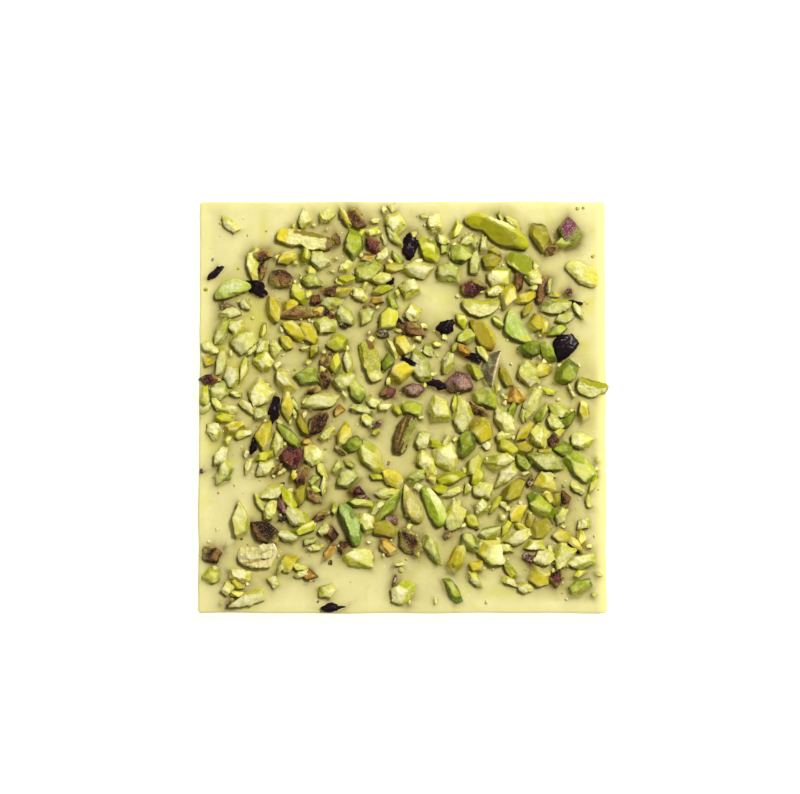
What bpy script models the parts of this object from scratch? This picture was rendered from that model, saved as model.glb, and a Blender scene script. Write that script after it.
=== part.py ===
"""White chocolate bar with chopped pistachios and dried petals set in its poured face.

The bar lies as it is eaten, moulded face down and topping up. The origin is the middle of the flat
moulded face, +X is across the bar, +Y is away from the viewer and +Z is up.

Every broken nut chunk is a convex fragment cut by random planes. It stands partly sunk in the slab
and is fused to it. Kernels as large as berries are solids of their own and sit in pockets.
"""

import math

import bmesh
import bpy
import numpy as np
from mathutils import Matrix, Vector

MM = 0.001

# Slab, in millimetres.
BAR_WIDTH = 100.0
BAR_DEPTH = 101.3
BAR_HEIGHT = 7.2
CORNER_RADIUS = 0.9
TOP_EDGE_RADIUS = 0.5
FOOT_EDGE_RADIUS = 0.7
WALL_DRAFT = 0.35
CORNER_STEPS = 4
EDGE_STEPS = 3

# Setting of the topping, in millimetres.
POCKET_GAP = 0.3
CHUNK_SINK = 0.32
KERNEL_SINK = 0.9
FLAKE_SINK = 0.35

# Kernels: x, y, length, width, height, turn in degrees, sideways bow, taper towards +x, and how
# pointed the ends are, from 0 for square to 1 for sharp.
KERNELS = {
    "long_sliver": (-24.0, 41.1, 13.9, 4.0, 3.0, -10, 0.15, -0.04, 0.22),
    "great_half": (23.4, 43.2, 17.2, 5.4, 3.4, -24, 0.45, 0.05, 0.4),
    "lower_half": (28.7, 35.3, 7.2, 4.2, 2.6, -38, 0.1, 0.1, 0.35),
    "leaf_kernel": (28.4, 19.3, 9.8, 4.2, 3.0, -57, -0.7, -0.1, 0.55),
    "golden_slice": (19.7, 17.8, 9.3, 4.5, 2.8, -53, 0.35, 0.2, 0.62),
    "cream_half": (19.3, 24.7, 9.5, 4.0, 3.0, 0, -0.8, 0.0, 0.42),
    "coated_kernel": (44.3, 32.8, 9.2, 4.5, 2.2, -33, 0.3, 0.1, 0.35),
    "edge_slice": (46.6, 4.7, 7.9, 4.0, 3.2, -9, -0.4, -0.15, 0.3),
    "pale_chip": (-7.7, 11.1, 10.3, 4.0, 2.8, -72, 0.1, 0.0, 0.18),
    "wrinkled_kernel": (-12.8, -29.0, 10.9, 3.7, 3.0, -69, 0.2, 0.0, 0.36),
    "drop_kernel": (2.3, -23.9, 10.2, 3.6, 2.8, -68, -0.25, 0.5, 0.55),
    "bright_kernel": (7.6, -24.4, 10.7, 4.2, 3.2, -64, 0.4, 0.15, 0.38),
    "brown_slice": (0.5, -6.8, 9.9, 4.3, 3.0, 71, 0.0, 0.0, 0.28),
    "speckled_kernel": (-35.4, -36.4, 9.8, 4.8, 2.8, 14, -0.3, 0.1, 0.35),
    "dusty_kernel": (-41.8, 28.6, 9.3, 4.0, 2.8, 18, 0.45, 0.0, 0.45),
}

# The curled husk: a thin shell whose straight rim runs from one tip to the other.
HUSK_TIPS = ((22.0, 4.8), (24.2, 13.6))
HUSK_WIDTH = 3.7
HUSK_RISE = 1.7
HUSK_LIFT = 0.4
HUSK_THICKNESS = 0.7
HUSK_STEPS = (9, 5)

KERNEL_STATIONS = 6
KERNEL_SIDES = 7

# Fragments placed one by one, by kind: x, y, length, width, height, turn in degrees.
PLACED = {
    "petal": (
        (2.1, 39.7, 6.6, 3.8, 1.0, 85),
        (40.2, 15.3, 7.0, 5.0, 1.1, 28),
        (-31.3, -0.6, 6.8, 2.8, 1.1, 82),
        (-16.3, -49.0, 7.2, 2.1, 1.0, 5),
        (8.9, 5.2, 6.4, 2.2, 1.1, -18),
        (10.2, 19.2, 4.6, 3.4, 1.1, 20),
        (-35.8, 29.0, 5.8, 3.2, 1.1, -45),
        (-45.8, 33.2, 4.3, 1.8, 0.9, 48),
        (-36.6, -9.6, 4.2, 1.6, 1.0, 78),
        (1.8, 10.9, 4.8, 1.3, 2.6, -28),
        (-21.9, 3.7, 4.4, 2.0, 1.2, 22),
        (17.2, 12.1, 4.8, 1.8, 1.2, -22),
        (-3.2, 30.4, 2.4, 1.3, 1.4, 20),
        (-0.9, 20.9, 2.4, 1.2, 1.6, -50),
        (42.2, -34.9, 3.2, 0.9, 1.4, -45),
        (42.4, 25.6, 4.5, 0.8, 1.2, -12),
    ),
    "brown": (
        (-34.4, 37.2, 3.8, 2.8, 2.2, 10),
        (-34.4, 33.6, 4.0, 2.1, 1.8, 80),
        (-29.8, 31.4, 5.8, 4.0, 2.4, -22),
        (-26.3, 23.0, 7.2, 2.8, 2.4, 8),
        (2.2, 19.0, 6.6, 3.2, 2.2, -14),
        (-11.9, 46.5, 7.0, 4.0, 2.2, -60),
        (-20.8, -4.0, 7.4, 3.0, 2.6, 54),
        (-46.3, -36.0, 4.4, 3.8, 2.0, -30),
        (1.9, -33.2, 5.8, 4.8, 2.6, -50),
        (-33.4, -31.0, 7.4, 4.4, 2.8, -28),
        (28.6, 30.8, 4.8, 2.3, 2.4, 82),
        (34.4, 28.8, 7.6, 2.6, 2.2, 72),
        (37.3, -8.4, 3.6, 3.0, 1.8, 20),
        (39.9, -23.2, 3.6, 2.0, 1.8, 78),
        (-22.0, -21.8, 4.6, 2.0, 2.0, -52),
        (-17.4, -31.2, 3.2, 2.6, 2.0, -45),
        (36.4, 38.6, 3.2, 2.2, 1.8, 10),
        (18.6, -0.8, 5.2, 2.0, 1.8, -33),
        (-20.0, -27.0, 4.5, 1.7, 1.8, 30),
        (-19.0, 6.6, 4.5, 2.8, 2.4, 88),
        (-21.3, 26.3, 3.0, 2.2, 2.2, 80),
        (-17.4, 28.2, 3.6, 2.4, 2.0, 20),
        (-18.3, 22.6, 3.0, 2.4, 1.8, -30),
        (-16.3, 41.0, 3.2, 2.0, 2.0, 80),
        (-18.6, 11.2, 4.2, 2.8, 2.4, 60),
        (-24.6, -16.9, 5.4, 2.8, 2.2, 60),
        (-14.6, -34.2, 3.4, 2.0, 1.8, 70),
        (14.7, 13.9, 4.4, 1.9, 2.2, -30),
    ),
    "maroon": (
        (-7.2, 39.6, 5.0, 3.2, 2.4, -55),
        (17.0, 29.2, 6.0, 3.6, 2.4, 2),
        (-27.2, -12.6, 5.6, 4.8, 2.8, -40),
        (-47.4, 6.4, 3.6, 2.8, 1.8, 35),
        (37.8, -42.1, 3.2, 2.8, 2.2, 45),
        (-11.2, -21.0, 3.2, 2.3, 1.8, 12),
        (-3.2, 3.5, 3.6, 2.6, 1.8, 0),
    ),
    "mauve": (
        (14.2, 6.1, 5.9, 5.6, 3.0, 0),
        (2.9, 4.0, 5.2, 2.8, 2.2, 2),
        (41.0, 43.0, 6.0, 5.8, 3.4, 60),
        (-2.6, -27.9, 3.0, 2.4, 1.8, 0),
        (-29.3, -25.0, 4.6, 1.9, 2.2, -70),
    ),
    "orange": (
        (-3.8, -34.3, 4.8, 2.6, 2.2, -45),
        (-18.0, -35.7, 4.8, 1.9, 1.8, 55),
        (28.0, 2.0, 3.6, 3.2, 2.2, -40),
        (-21.0, 23.4, 3.0, 2.2, 1.8, 0),
        (-22.9, -41.4, 2.8, 2.4, 1.8, 30),
    ),
    "yellow": (
        (-28.5, 36.4, 5.2, 3.0, 2.2, 18),
        (-31.6, 23.8, 7.0, 3.1, 2.6, -80),
        (-26.5, 18.5, 6.0, 3.3, 2.6, -50),
        (-2.0, 34.2, 4.9, 2.4, 2.0, 5),
        (6.6, 38.4, 6.2, 3.9, 2.8, -50),
        (30.6, 26.8, 4.8, 2.6, 2.2, 25),
        (26.2, 27.2, 5.4, 3.8, 2.6, 70),
        (33.4, 20.6, 4.2, 4.0, 2.6, 0),
        (-33.8, -7.0, 6.4, 3.8, 2.6, 80),
        (-28.2, 0.0, 6.6, 2.9, 2.4, 88),
        (0.2, 15.2, 5.6, 3.7, 2.6, -50),
        (25.2, 7.3, 5.6, 2.3, 2.2, -65),
        (34.4, 9.0, 4.0, 3.2, 2.4, 0),
        (-14.3, -7.0, 5.6, 3.1, 2.6, 70),
        (-2.5, -17.5, 5.4, 3.6, 2.6, -45),
        (13.4, -37.0, 6.2, 3.3, 2.6, 70),
        (19.8, -6.0, 5.2, 4.6, 2.6, -80),
        (23.8, -13.3, 5.8, 3.8, 2.6, 15),
        (28.2, -26.3, 4.8, 3.4, 2.4, 65),
        (-24.6, -4.6, 6.6, 2.2, 2.2, -70),
        (-0.4, 8.6, 5.8, 4.6, 3.0, 30),
        (18.0, -39.3, 3.3, 2.7, 2.0, 0),
        (-47.5, 11.0, 2.8, 2.4, 1.8, 0),
        (-27.2, 25.3, 3.6, 2.2, 1.6, 30),
        (-15.2, 28.3, 5.6, 2.0, 2.0, -3),
        (-28.4, 15.6, 3.8, 2.6, 2.2, -50),
        (-41.1, -5.2, 5.0, 2.8, 2.2, 20),
        (44.4, -1.5, 4.4, 2.8, 2.4, 88),
        (30.2, -10.2, 4.2, 3.2, 2.6, -10),
        (29.8, -6.4, 6.4, 2.4, 2.6, 50),
        (-28.0, -38.4, 4.2, 3.6, 2.2, 60),
        (34.8, -18.7, 5.0, 4.0, 2.6, -10),
        (36.0, -22.6, 3.8, 1.8, 1.8, -60),
        (39.0, -31.7, 4.0, 3.2, 2.2, 0),
        (42.4, -33.8, 4.6, 1.8, 2.0, -50),
        (43.9, -32.2, 3.8, 2.0, 1.8, -80),
        (32.6, -34.0, 4.8, 2.6, 2.2, 10),
        (33.8, -42.0, 4.8, 4.2, 2.6, 0),
    ),
    "green": (
        (-11.8, 39.8, 6.0, 4.3, 2.6, 80),
        (-25.5, 27.6, 4.8, 3.0, 2.4, -55),
        (14.3, 37.6, 4.8, 4.2, 3.0, -30),
        (34.0, 42.2, 6.2, 4.2, 3.0, -55),
        (21.8, 35.6, 4.6, 3.4, 2.6, 40),
        (23.6, 31.9, 6.2, 4.2, 3.0, -4),
        (11.4, 33.3, 6.0, 4.6, 2.8, -20),
        (-44.6, 11.0, 6.6, 2.4, 2.2, 80),
        (-45.0, 3.6, 5.0, 3.8, 2.6, 20),
        (-27.6, -7.4, 6.6, 3.0, 2.4, -45),
        (-23.6, 7.2, 5.2, 3.8, 2.6, 0),
        (-29.3, 6.6, 5.5, 3.1, 2.6, -60),
        (-38.8, 9.5, 6.0, 1.9, 2.0, 75),
        (-10.9, 3.4, 5.0, 3.8, 2.6, -52),
        (-3.7, 10.6, 3.4, 2.6, 2.6, 55),
        (2.4, -0.6, 5.4, 3.6, 2.4, -18),
        (-12.0, -9.3, 4.6, 3.8, 2.6, 30),
        (15.6, -8.7, 6.2, 4.0, 2.8, 70),
        (20.5, 1.7, 6.0, 4.0, 2.8, -20),
        (31.6, 14.2, 5.0, 4.0, 2.6, 0),
        (35.6, 13.5, 5.5, 3.0, 2.6, -60),
        (40.6, 8.2, 5.6, 4.4, 2.6, 60),
        (39.6, -10.6, 4.2, 3.4, 2.4, 0),
        (44.0, -15.6, 7.8, 4.2, 2.6, -42),
        (-39.5, -28.0, 7.8, 3.7, 2.8, -85),
        (-4.2, -30.0, 5.6, 3.8, 2.4, -28),
        (12.3, -44.9, 6.3, 2.6, 2.2, -60),
        (33.9, -24.4, 8.0, 3.8, 2.8, -38),
        (34.3, -29.7, 6.2, 3.8, 2.6, 48),
        (21.9, -36.0, 7.2, 4.8, 3.0, -55),
        (27.2, -20.7, 7.2, 3.8, 2.8, 50),
        (43.5, -44.2, 6.4, 3.1, 2.4, 28),
        (-7.5, -13.1, 7.6, 4.2, 3.0, -52),
        (-2.5, 25.6, 4.6, 1.8, 2.2, -70),
        (23.4, 20.8, 3.8, 1.6, 1.8, -45),
        (15.6, 17.2, 4.4, 3.2, 2.8, 20),
        (40.6, -3.6, 5.0, 2.0, 2.4, 50),
        (29.7, -13.9, 4.6, 2.6, 2.4, -50),
        (-25.0, -22.0, 4.4, 3.0, 2.4, 80),
        (-10.4, -23.6, 5.6, 1.9, 2.2, -5),
        (16.5, -33.2, 5.6, 3.2, 2.6, -45),
    ),
    "cream": (
        (-42.3, 44.5, 4.6, 2.3, 2.0, -38),
        (-24.2, 46.2, 4.2, 2.3, 2.2, 82),
        (-18.7, 46.9, 3.6, 3.0, 2.2, 40),
        (-1.9, 45.6, 5.0, 4.4, 2.4, -50),
        (-37.0, 34.9, 6.6, 2.9, 2.6, -75),
        (-20.5, 36.1, 5.2, 4.0, 2.6, -45),
        (3.6, 33.5, 5.8, 4.0, 2.6, -12),
        (-3.4, 21.5, 5.4, 4.6, 3.0, 60),
        (32.3, 31.6, 4.4, 3.8, 2.8, -30),
        (37.8, 24.5, 6.4, 3.5, 2.4, 2),
        (-39.0, 15.9, 6.0, 4.8, 2.8, 10),
        (-35.0, 3.0, 5.8, 5.4, 2.8, 50),
        (-22.0, -12.2, 5.0, 4.8, 2.8, -10),
        (-14.3, 6.2, 5.4, 3.8, 2.6, 12),
        (4.4, 9.4, 7.2, 3.9, 2.8, -58),
        (9.0, -0.6, 5.6, 5.0, 3.0, -75),
        (14.8, -2.3, 7.2, 4.2, 2.8, 80),
        (31.8, 0.7, 7.8, 3.5, 2.8, 70),
        (24.8, -3.4, 7.4, 4.0, 2.8, -58),
        (31.0, 7.8, 7.0, 4.9, 2.6, -66),
        (10.8, -12.3, 5.8, 5.2, 2.8, -40),
        (35.6, -13.6, 7.8, 4.3, 3.0, -15),
        (43.6, -8.5, 4.6, 3.9, 2.6, -30),
        (-26.0, -27.2, 6.4, 4.1, 2.8, -35),
        (-37.8, -47.1, 8.6, 3.1, 2.4, 19),
        (-39.9, -41.1, 4.8, 3.1, 2.2, -8),
        (-10.4, -36.9, 6.5, 4.5, 2.6, -12),
        (-8.8, -28.3, 4.8, 3.6, 2.8, -62),
        (-0.4, -45.8, 5.8, 4.8, 2.6, 60),
        (12.8, -27.4, 5.6, 5.2, 2.8, 60),
        (39.1, -37.0, 5.8, 4.2, 2.8, 58),
        (43.9, -37.9, 7.0, 2.7, 2.2, 12),
        (-40.8, 19.8, 4.2, 3.2, 2.2, 10),
        (-23.0, 18.0, 6.0, 3.0, 2.8, -48),
        (7.8, 45.1, 4.4, 3.4, 2.4, 85),
        (15.9, 40.9, 3.8, 2.2, 2.4, 30),
        (-5.2, 37.0, 4.2, 2.5, 2.2, 40),
        (-10.5, 27.6, 4.0, 2.8, 2.4, -40),
        (1.7, 29.2, 4.6, 4.0, 2.8, 10),
        (2.4, 22.7, 4.4, 3.4, 2.6, -80),
        (20.0, 40.0, 3.6, 1.6, 2.2, 85),
        (26.8, 45.6, 4.0, 1.5, 2.0, -35),
        (22.8, 28.3, 4.6, 2.4, 2.4, 15),
        (-47.4, 14.2, 4.6, 2.3, 2.0, -35),
        (-42.0, 7.2, 5.0, 3.8, 2.8, 80),
        (-36.9, 13.8, 3.8, 1.6, 1.8, 40),
        (-31.2, 14.3, 3.4, 2.8, 2.2, -50),
        (-33.8, 10.8, 4.4, 3.6, 2.6, -20),
        (-45.8, 1.0, 4.0, 1.8, 1.8, -60),
        (-42.8, -0.6, 3.6, 2.0, 1.8, -15),
        (-38.0, -0.2, 4.2, 2.2, 2.0, -40),
        (-46.2, -6.0, 4.0, 3.4, 2.0, 90),
        (-44.4, -12.1, 5.0, 2.8, 2.2, 60),
        (-37.7, -14.5, 3.6, 1.6, 1.6, 70),
        (-33.9, -15.5, 3.6, 3.0, 2.4, 70),
        (-18.5, -6.7, 4.2, 2.4, 2.2, 50),
        (-19.8, 1.2, 8.8, 3.2, 2.6, 6),
        (-19.9, -15.6, 3.8, 1.7, 1.8, -65),
        (-13.4, 11.0, 4.8, 2.2, 2.4, -75),
        (-2.7, 14.6, 4.8, 1.4, 1.8, -60),
        (-7.2, 0.9, 3.2, 2.2, 1.8, -20),
        (-8.5, -3.5, 3.6, 2.2, 2.0, -50),
        (4.8, -8.3, 4.6, 3.4, 2.6, 70),
        (5.6, -13.9, 5.6, 3.6, 2.6, -70),
        (19.8, 13.1, 4.6, 1.9, 2.2, -50),
        (33.3, -7.0, 5.0, 4.4, 3.0, 80),
        (24.5, -7.3, 3.4, 2.2, 2.2, 30),
        (25.5, -16.8, 6.4, 3.2, 2.6, 45),
        (-31.8, -21.0, 5.8, 2.8, 2.6, 25),
        (-34.9, -23.8, 4.2, 1.4, 1.8, -65),
        (-32.6, -25.8, 4.8, 3.0, 2.6, 65),
        (-19.3, -19.2, 5.2, 1.2, 1.8, 80),
        (-19.2, -30.3, 3.0, 2.0, 2.0, 50),
        (-25.2, -39.3, 4.2, 1.7, 1.8, -20),
        (-24.6, -41.0, 4.0, 1.5, 1.8, 15),
        (-31.4, -43.0, 3.0, 2.2, 1.4, -60),
        (-42.8, -44.6, 3.0, 2.4, 2.0, 60),
        (-18.2, -45.2, 4.0, 3.2, 2.2, 30),
        (12.3, -21.0, 5.0, 2.0, 2.2, 20),
        (17.6, -42.3, 4.2, 1.9, 2.0, -50),
        (19.8, -20.4, 5.2, 3.8, 2.6, -20),
        (43.2, -20.4, 3.4, 1.8, 1.8, -30),
        (38.9, -26.7, 4.6, 3.0, 2.4, 60),
        (44.2, -28.8, 3.2, 2.4, 2.0, 10),
        (28.2, -31.9, 6.6, 3.2, 2.6, 20),
        (19.2, -24.4, 4.2, 3.2, 2.4, 70),
        (25.4, -34.7, 3.2, 2.2, 2.0, -10),
        (34.6, -36.9, 4.8, 3.6, 2.6, 20),
        (30.0, -44.5, 3.4, 2.4, 2.0, -10),
    ),
    "lime": (
        (-23.8, 37.6, 4.2, 2.3, 2.2, 88),
        (-34.2, 18.6, 4.0, 1.5, 1.8, 75),
        (-5.0, 28.8, 4.6, 2.2, 2.2, 20),
        (13.4, 43.5, 4.2, 1.9, 2.0, 65),
        (14.6, 21.2, 3.8, 2.4, 2.2, -50),
        (30.6, 23.6, 3.6, 1.8, 2.2, 65),
        (-16.4, 10.6, 4.8, 2.4, 2.6, 88),
        (-16.0, 15.4, 4.8, 3.8, 2.8, 0),
        (-48.4, 2.6, 5.0, 2.2, 2.2, 88),
        (-43.8, -2.9, 4.6, 2.2, 1.8, -5),
        (-33.8, -12.2, 4.6, 2.2, 2.0, 20),
        (17.7, -14.2, 5.2, 3.0, 2.6, 55),
        (18.0, 8.4, 4.4, 2.4, 2.4, -50),
        (34.2, -1.7, 5.4, 1.9, 2.2, 55),
        (25.8, -10.0, 5.4, 3.0, 2.4, -30),
        (-27.8, -22.8, 6.2, 2.6, 2.8, -60),
        (18.4, -17.4, 4.4, 3.0, 2.6, 60),
        (17.0, -27.8, 4.6, 2.8, 2.4, -50),
        (37.7, -22.7, 3.6, 2.0, 2.0, 70),
        (46.8, -19.0, 4.2, 1.4, 1.8, 65),
        (25.4, -29.7, 3.8, 1.8, 1.8, 60),
        (22.8, -23.8, 4.2, 1.8, 2.0, 60),
        (26.4, -40.4, 4.0, 1.8, 1.8, -50),
        (-46.5, -41.6, 3.8, 3.2, 2.2, 0),
        (-24.0, -30.0, 5.4, 2.6, 2.4, 20),
        (9.3, -20.4, 3.0, 2.0, 2.2, -10),
        (11.4, -17.8, 6.4, 2.8, 2.4, 15),
        (8.3, -9.3, 3.2, 1.8, 1.8, 0),
    ),
    "sage": (
        (-22.6, 30.9, 5.0, 3.2, 2.6, -5),
        (-42.0, 23.0, 4.6, 2.2, 1.8, 5),
        (-38.7, 25.0, 3.2, 2.0, 1.8, -30),
        (-44.4, 18.2, 7.2, 2.7, 2.4, 66),
        (-17.9, 25.3, 4.4, 2.6, 2.2, 10),
        (-18.7, 20.0, 4.8, 3.4, 2.6, -20),
        (-2.0, 41.7, 4.8, 1.9, 2.0, -50),
        (9.8, 41.1, 3.4, 2.0, 2.4, -40),
        (-8.3, 33.4, 6.8, 4.2, 2.8, 35),
        (-5.0, 31.5, 4.8, 3.0, 2.6, 5),
        (-14.0, 34.6, 3.2, 2.4, 1.8, 40),
        (-13.9, 31.3, 4.8, 2.1, 2.0, 5),
        (-13.9, 22.2, 5.4, 3.4, 2.8, -40),
        (-8.8, 22.2, 4.0, 3.2, 2.2, 60),
        (17.6, 40.6, 3.2, 2.0, 2.2, -60),
        (17.7, 35.3, 6.0, 2.5, 2.6, 88),
        (39.8, 21.6, 3.8, 2.4, 2.0, 10),
        (43.2, 23.4, 4.4, 1.4, 1.8, -60),
        (38.2, 18.7, 4.2, 2.4, 2.2, 25),
        (-34.7, 14.6, 4.4, 2.7, 2.2, 60),
        (-34.7, -1.8, 3.0, 2.7, 2.0, 10),
        (-39.0, -6.8, 4.8, 1.8, 1.8, 20),
        (-30.7, -9.3, 5.0, 2.4, 2.2, 75),
        (-43.6, -16.4, 5.4, 3.8, 2.4, 60),
        (6.3, 13.7, 3.0, 2.2, 1.8, -60),
        (11.2, 11.0, 4.4, 2.9, 2.6, 70),
        (-10.0, -0.7, 5.6, 2.1, 2.0, -18),
        (38.2, -1.1, 4.8, 3.0, 2.4, -30),
        (37.4, -4.0, 4.8, 3.2, 2.6, -50),
        (26.9, -0.8, 4.6, 1.8, 2.0, 70),
        (-28.0, -31.8, 5.0, 2.7, 2.2, -20),
        (-21.7, -34.7, 3.6, 1.7, 1.6, 5),
        (-13.4, -17.8, 5.6, 3.8, 2.6, 25),
        (-4.0, -21.2, 5.4, 2.4, 2.4, 3),
        (-3.2, -24.6, 8.6, 2.4, 2.6, 52),
        (-6.2, -24.7, 4.8, 2.0, 2.2, 45),
        (3.4, -17.2, 4.8, 2.8, 2.4, 20),
        (7.2, -34.6, 6.6, 3.0, 2.4, -65),
        (21.4, -30.9, 5.6, 2.5, 2.4, 15),
    ),
    "olive": (
        (-21.8, 13.6, 3.0, 2.3, 2.0, 70),
        (31.2, -28.0, 3.6, 2.2, 1.8, 80),
    ),
}
MATERIAL_OF = {"petal": 3, "brown": 2, "maroon": 2, "mauve": 2}

# Fragment shapes. Small pieces have fewer sides.
SEED = 20
SMALL_LENGTH = 3.7
SMALL_SIDES = (4, 4, 5)
LARGE_SIDES = (5, 5, 6)
SIDE_LEAN = (-8, 32)
TOP_TILT = (4, 34)
SIDE_JITTER = 0.30
MOST_ROLL = 9
BLOCK = 1.3


def material(name, colour, roughness):
    made = bpy.data.materials.new(name)
    made.use_nodes = True
    shader = made.node_tree.nodes["Principled BSDF"]
    shader.inputs["Base Color"].default_value = (*colour, 1)
    shader.inputs["Roughness"].default_value = roughness
    shader.inputs["Metallic"].default_value = 0
    return made


def mesh_object(name, points, faces, materials, kind=0):
    """A closed mesh from points in millimetres, every face in one material slot."""
    mesh = bpy.data.meshes.new(name)
    mesh.from_pydata([tuple(point) for point in np.asarray(points) * MM], [], faces)
    for slot in materials:
        mesh.materials.append(slot)
    mesh.polygons.foreach_set("material_index", [kind] * len(mesh.polygons))
    made = bpy.data.objects.new(name, mesh)
    bpy.context.scene.collection.objects.link(made)
    return made


def rounded_outline(inset):
    """Points round the bar's plan, anticlockwise, moved in by inset with concentric corners."""
    radius = max(CORNER_RADIUS - inset, 0.25)
    half = (BAR_WIDTH / 2 - inset - radius, BAR_DEPTH / 2 - inset - radius)
    signs = ((1, 1), (-1, 1), (-1, -1), (1, -1))
    return [
        (
            sign_x * half[0] + radius * math.cos(angle),
            sign_y * half[1] + radius * math.sin(angle),
        )
        for quarter, (sign_x, sign_y) in enumerate(signs)
        for angle in (
            math.pi / 2 * (quarter + step / CORNER_STEPS) for step in range(CORNER_STEPS + 1)
        )
    ]


def slab(materials):
    """The poured slab: rings of its plan stacked from the foot to the top, both edges rounded."""
    levels = [
        (
            WALL_DRAFT + FOOT_EDGE_RADIUS * (1 - math.sin(angle)),
            FOOT_EDGE_RADIUS * (1 - math.cos(angle)),
        )
        for angle in (math.pi / 2 * step / EDGE_STEPS for step in range(EDGE_STEPS + 1))
    ] + [
        (
            TOP_EDGE_RADIUS * (1 - math.cos(angle)),
            BAR_HEIGHT - TOP_EDGE_RADIUS * (1 - math.sin(angle)),
        )
        for angle in (math.pi / 2 * step / EDGE_STEPS for step in range(EDGE_STEPS + 1))
    ]
    rings = [[(x, y, z) for x, y in rounded_outline(inset)] for inset, z in levels]
    count = len(rings[0])
    faces = [tuple(reversed(range(count)))]
    for ring in range(len(rings) - 1):
        for k in range(count):
            after = (k + 1) % count
            low, high = ring * count, (ring + 1) * count
            faces.append((low + k, low + after, high + after, high + k))
    faces.append(tuple(range((len(rings) - 1) * count, len(rings) * count)))
    return mesh_object("white_chocolate", [p for ring in rings for p in ring], faces, materials)


def fragment_planes(rng, length):
    """Normals and distances of the planes that cut one fragment out of a block of unit size."""
    sides = int(rng.choice(SMALL_SIDES if length < SMALL_LENGTH else LARGE_SIDES))
    around = 2 * math.pi * (np.arange(sides) + rng.uniform(-SIDE_JITTER, SIDE_JITTER, sides)) / sides
    lean = np.radians(rng.uniform(*SIDE_LEAN, sides))
    tops = 2
    top_around = rng.uniform(0, 2 * math.pi) + math.pi * np.arange(tops)
    top_tilt = np.radians(rng.uniform(*TOP_TILT, tops))
    azimuth = np.concatenate([around, top_around])
    rise = np.concatenate([lean, math.pi / 2 - top_tilt])
    normals = np.stack(
        [np.cos(azimuth) * np.cos(rise), np.sin(azimuth) * np.cos(rise), np.sin(rise)], axis=1
    )
    distances = np.concatenate([rng.uniform(0.41, 0.48, sides), rng.uniform(0.36, 0.48, tops)])
    return normals, distances


def fragment(name, place, rng, kind, sink, materials):
    """One broken piece: a unit block cut by its planes, then stretched, turned and sunk."""
    x, y, length, width, height, turn = place
    normals, distances = fragment_planes(rng, length)
    roll = math.radians(rng.uniform(-MOST_ROLL, MOST_ROLL))
    pitch = math.radians(rng.uniform(-MOST_ROLL, MOST_ROLL))
    shape = bmesh.new()
    bmesh.ops.create_cube(shape, size=BLOCK)
    for normal, distance in zip(normals, distances):
        cut = bmesh.ops.bisect_plane(
            shape,
            geom=shape.verts[:] + shape.edges[:] + shape.faces[:],
            dist=1e-6,
            plane_co=Vector(normal * distance),
            plane_no=Vector(normal),
            clear_outer=True,
        )
        rim = [item for item in cut["geom_cut"] if isinstance(item, bmesh.types.BMEdge)]
        if rim:
            bmesh.ops.contextual_create(shape, geom=rim)
    full = height / (1 - sink)
    stretch = Matrix.Diagonal((length, width, full, 1))
    tilt = Matrix.Rotation(roll, 4, "X") @ Matrix.Rotation(pitch, 4, "Y")
    lift = BAR_HEIGHT + full * (0.5 - sink)
    put = Matrix.Translation((x, y, lift)) @ Matrix.Rotation(math.radians(turn), 4, "Z")
    bmesh.ops.transform(shape, matrix=put @ tilt @ stretch, verts=shape.verts)
    bmesh.ops.recalc_face_normals(shape, faces=shape.faces)
    points = [vertex.co for vertex in shape.verts]
    faces = [[vertex.index for vertex in face.verts] for face in shape.faces]
    shape.free()
    return mesh_object(name, points, faces, materials, kind)


def kernel(name, place, materials, grow=0.0):
    """A kernel lying along x: oval sections whose size rises and falls as a sine, on a bowed spine."""
    x, y, length, width, height, turn, bow, taper, point = place
    length, width, thickness = length + 2 * grow, width + 2 * grow, height + KERNEL_SINK + 2 * grow
    along = (1 - np.cos(math.pi * np.linspace(0, 1, KERNEL_STATIONS + 2)))[1:-1] / 2
    swell = np.sin(math.pi * along) ** point * (1 + taper * (2 * along - 1))
    spine = bow * (1 - 2 * (2 * along - 1) ** 2)
    around = 2 * math.pi * (np.arange(KERNEL_SIDES) + 0.5) / KERNEL_SIDES
    ring_x = np.repeat(length * (along - 0.5)[:, None], KERNEL_SIDES, axis=1)
    ring_y = spine[:, None] + width / 2 * swell[:, None] * np.cos(around)[None, :]
    ring_z = thickness / 2 * swell[:, None] * np.sin(around)[None, :]
    rings = np.stack([ring_x, ring_y, ring_z], axis=-1).reshape(-1, 3)
    ends = np.array([[-length / 2, -bow, 0], [length / 2, -bow, 0]])
    points = np.vstack([rings, ends])
    first, last = len(rings), len(rings) + 1
    faces = []
    for k in range(KERNEL_SIDES):
        after = (k + 1) % KERNEL_SIDES
        faces.append((first, after, k))
        for station in range(KERNEL_STATIONS - 1):
            low, high = station * KERNEL_SIDES, (station + 1) * KERNEL_SIDES
            faces.append((low + k, low + after, high + after, high + k))
        end = (KERNEL_STATIONS - 1) * KERNEL_SIDES
        faces.append((last, end + k, end + after))
    angle = math.radians(turn)
    turned = points @ np.array(
        [[math.cos(angle), math.sin(angle), 0], [-math.sin(angle), math.cos(angle), 0], [0, 0, 1]]
    )
    lift = BAR_HEIGHT - KERNEL_SINK + (height + KERNEL_SINK) / 2
    return mesh_object(name, turned + (x, y, lift), faces, materials)


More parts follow.
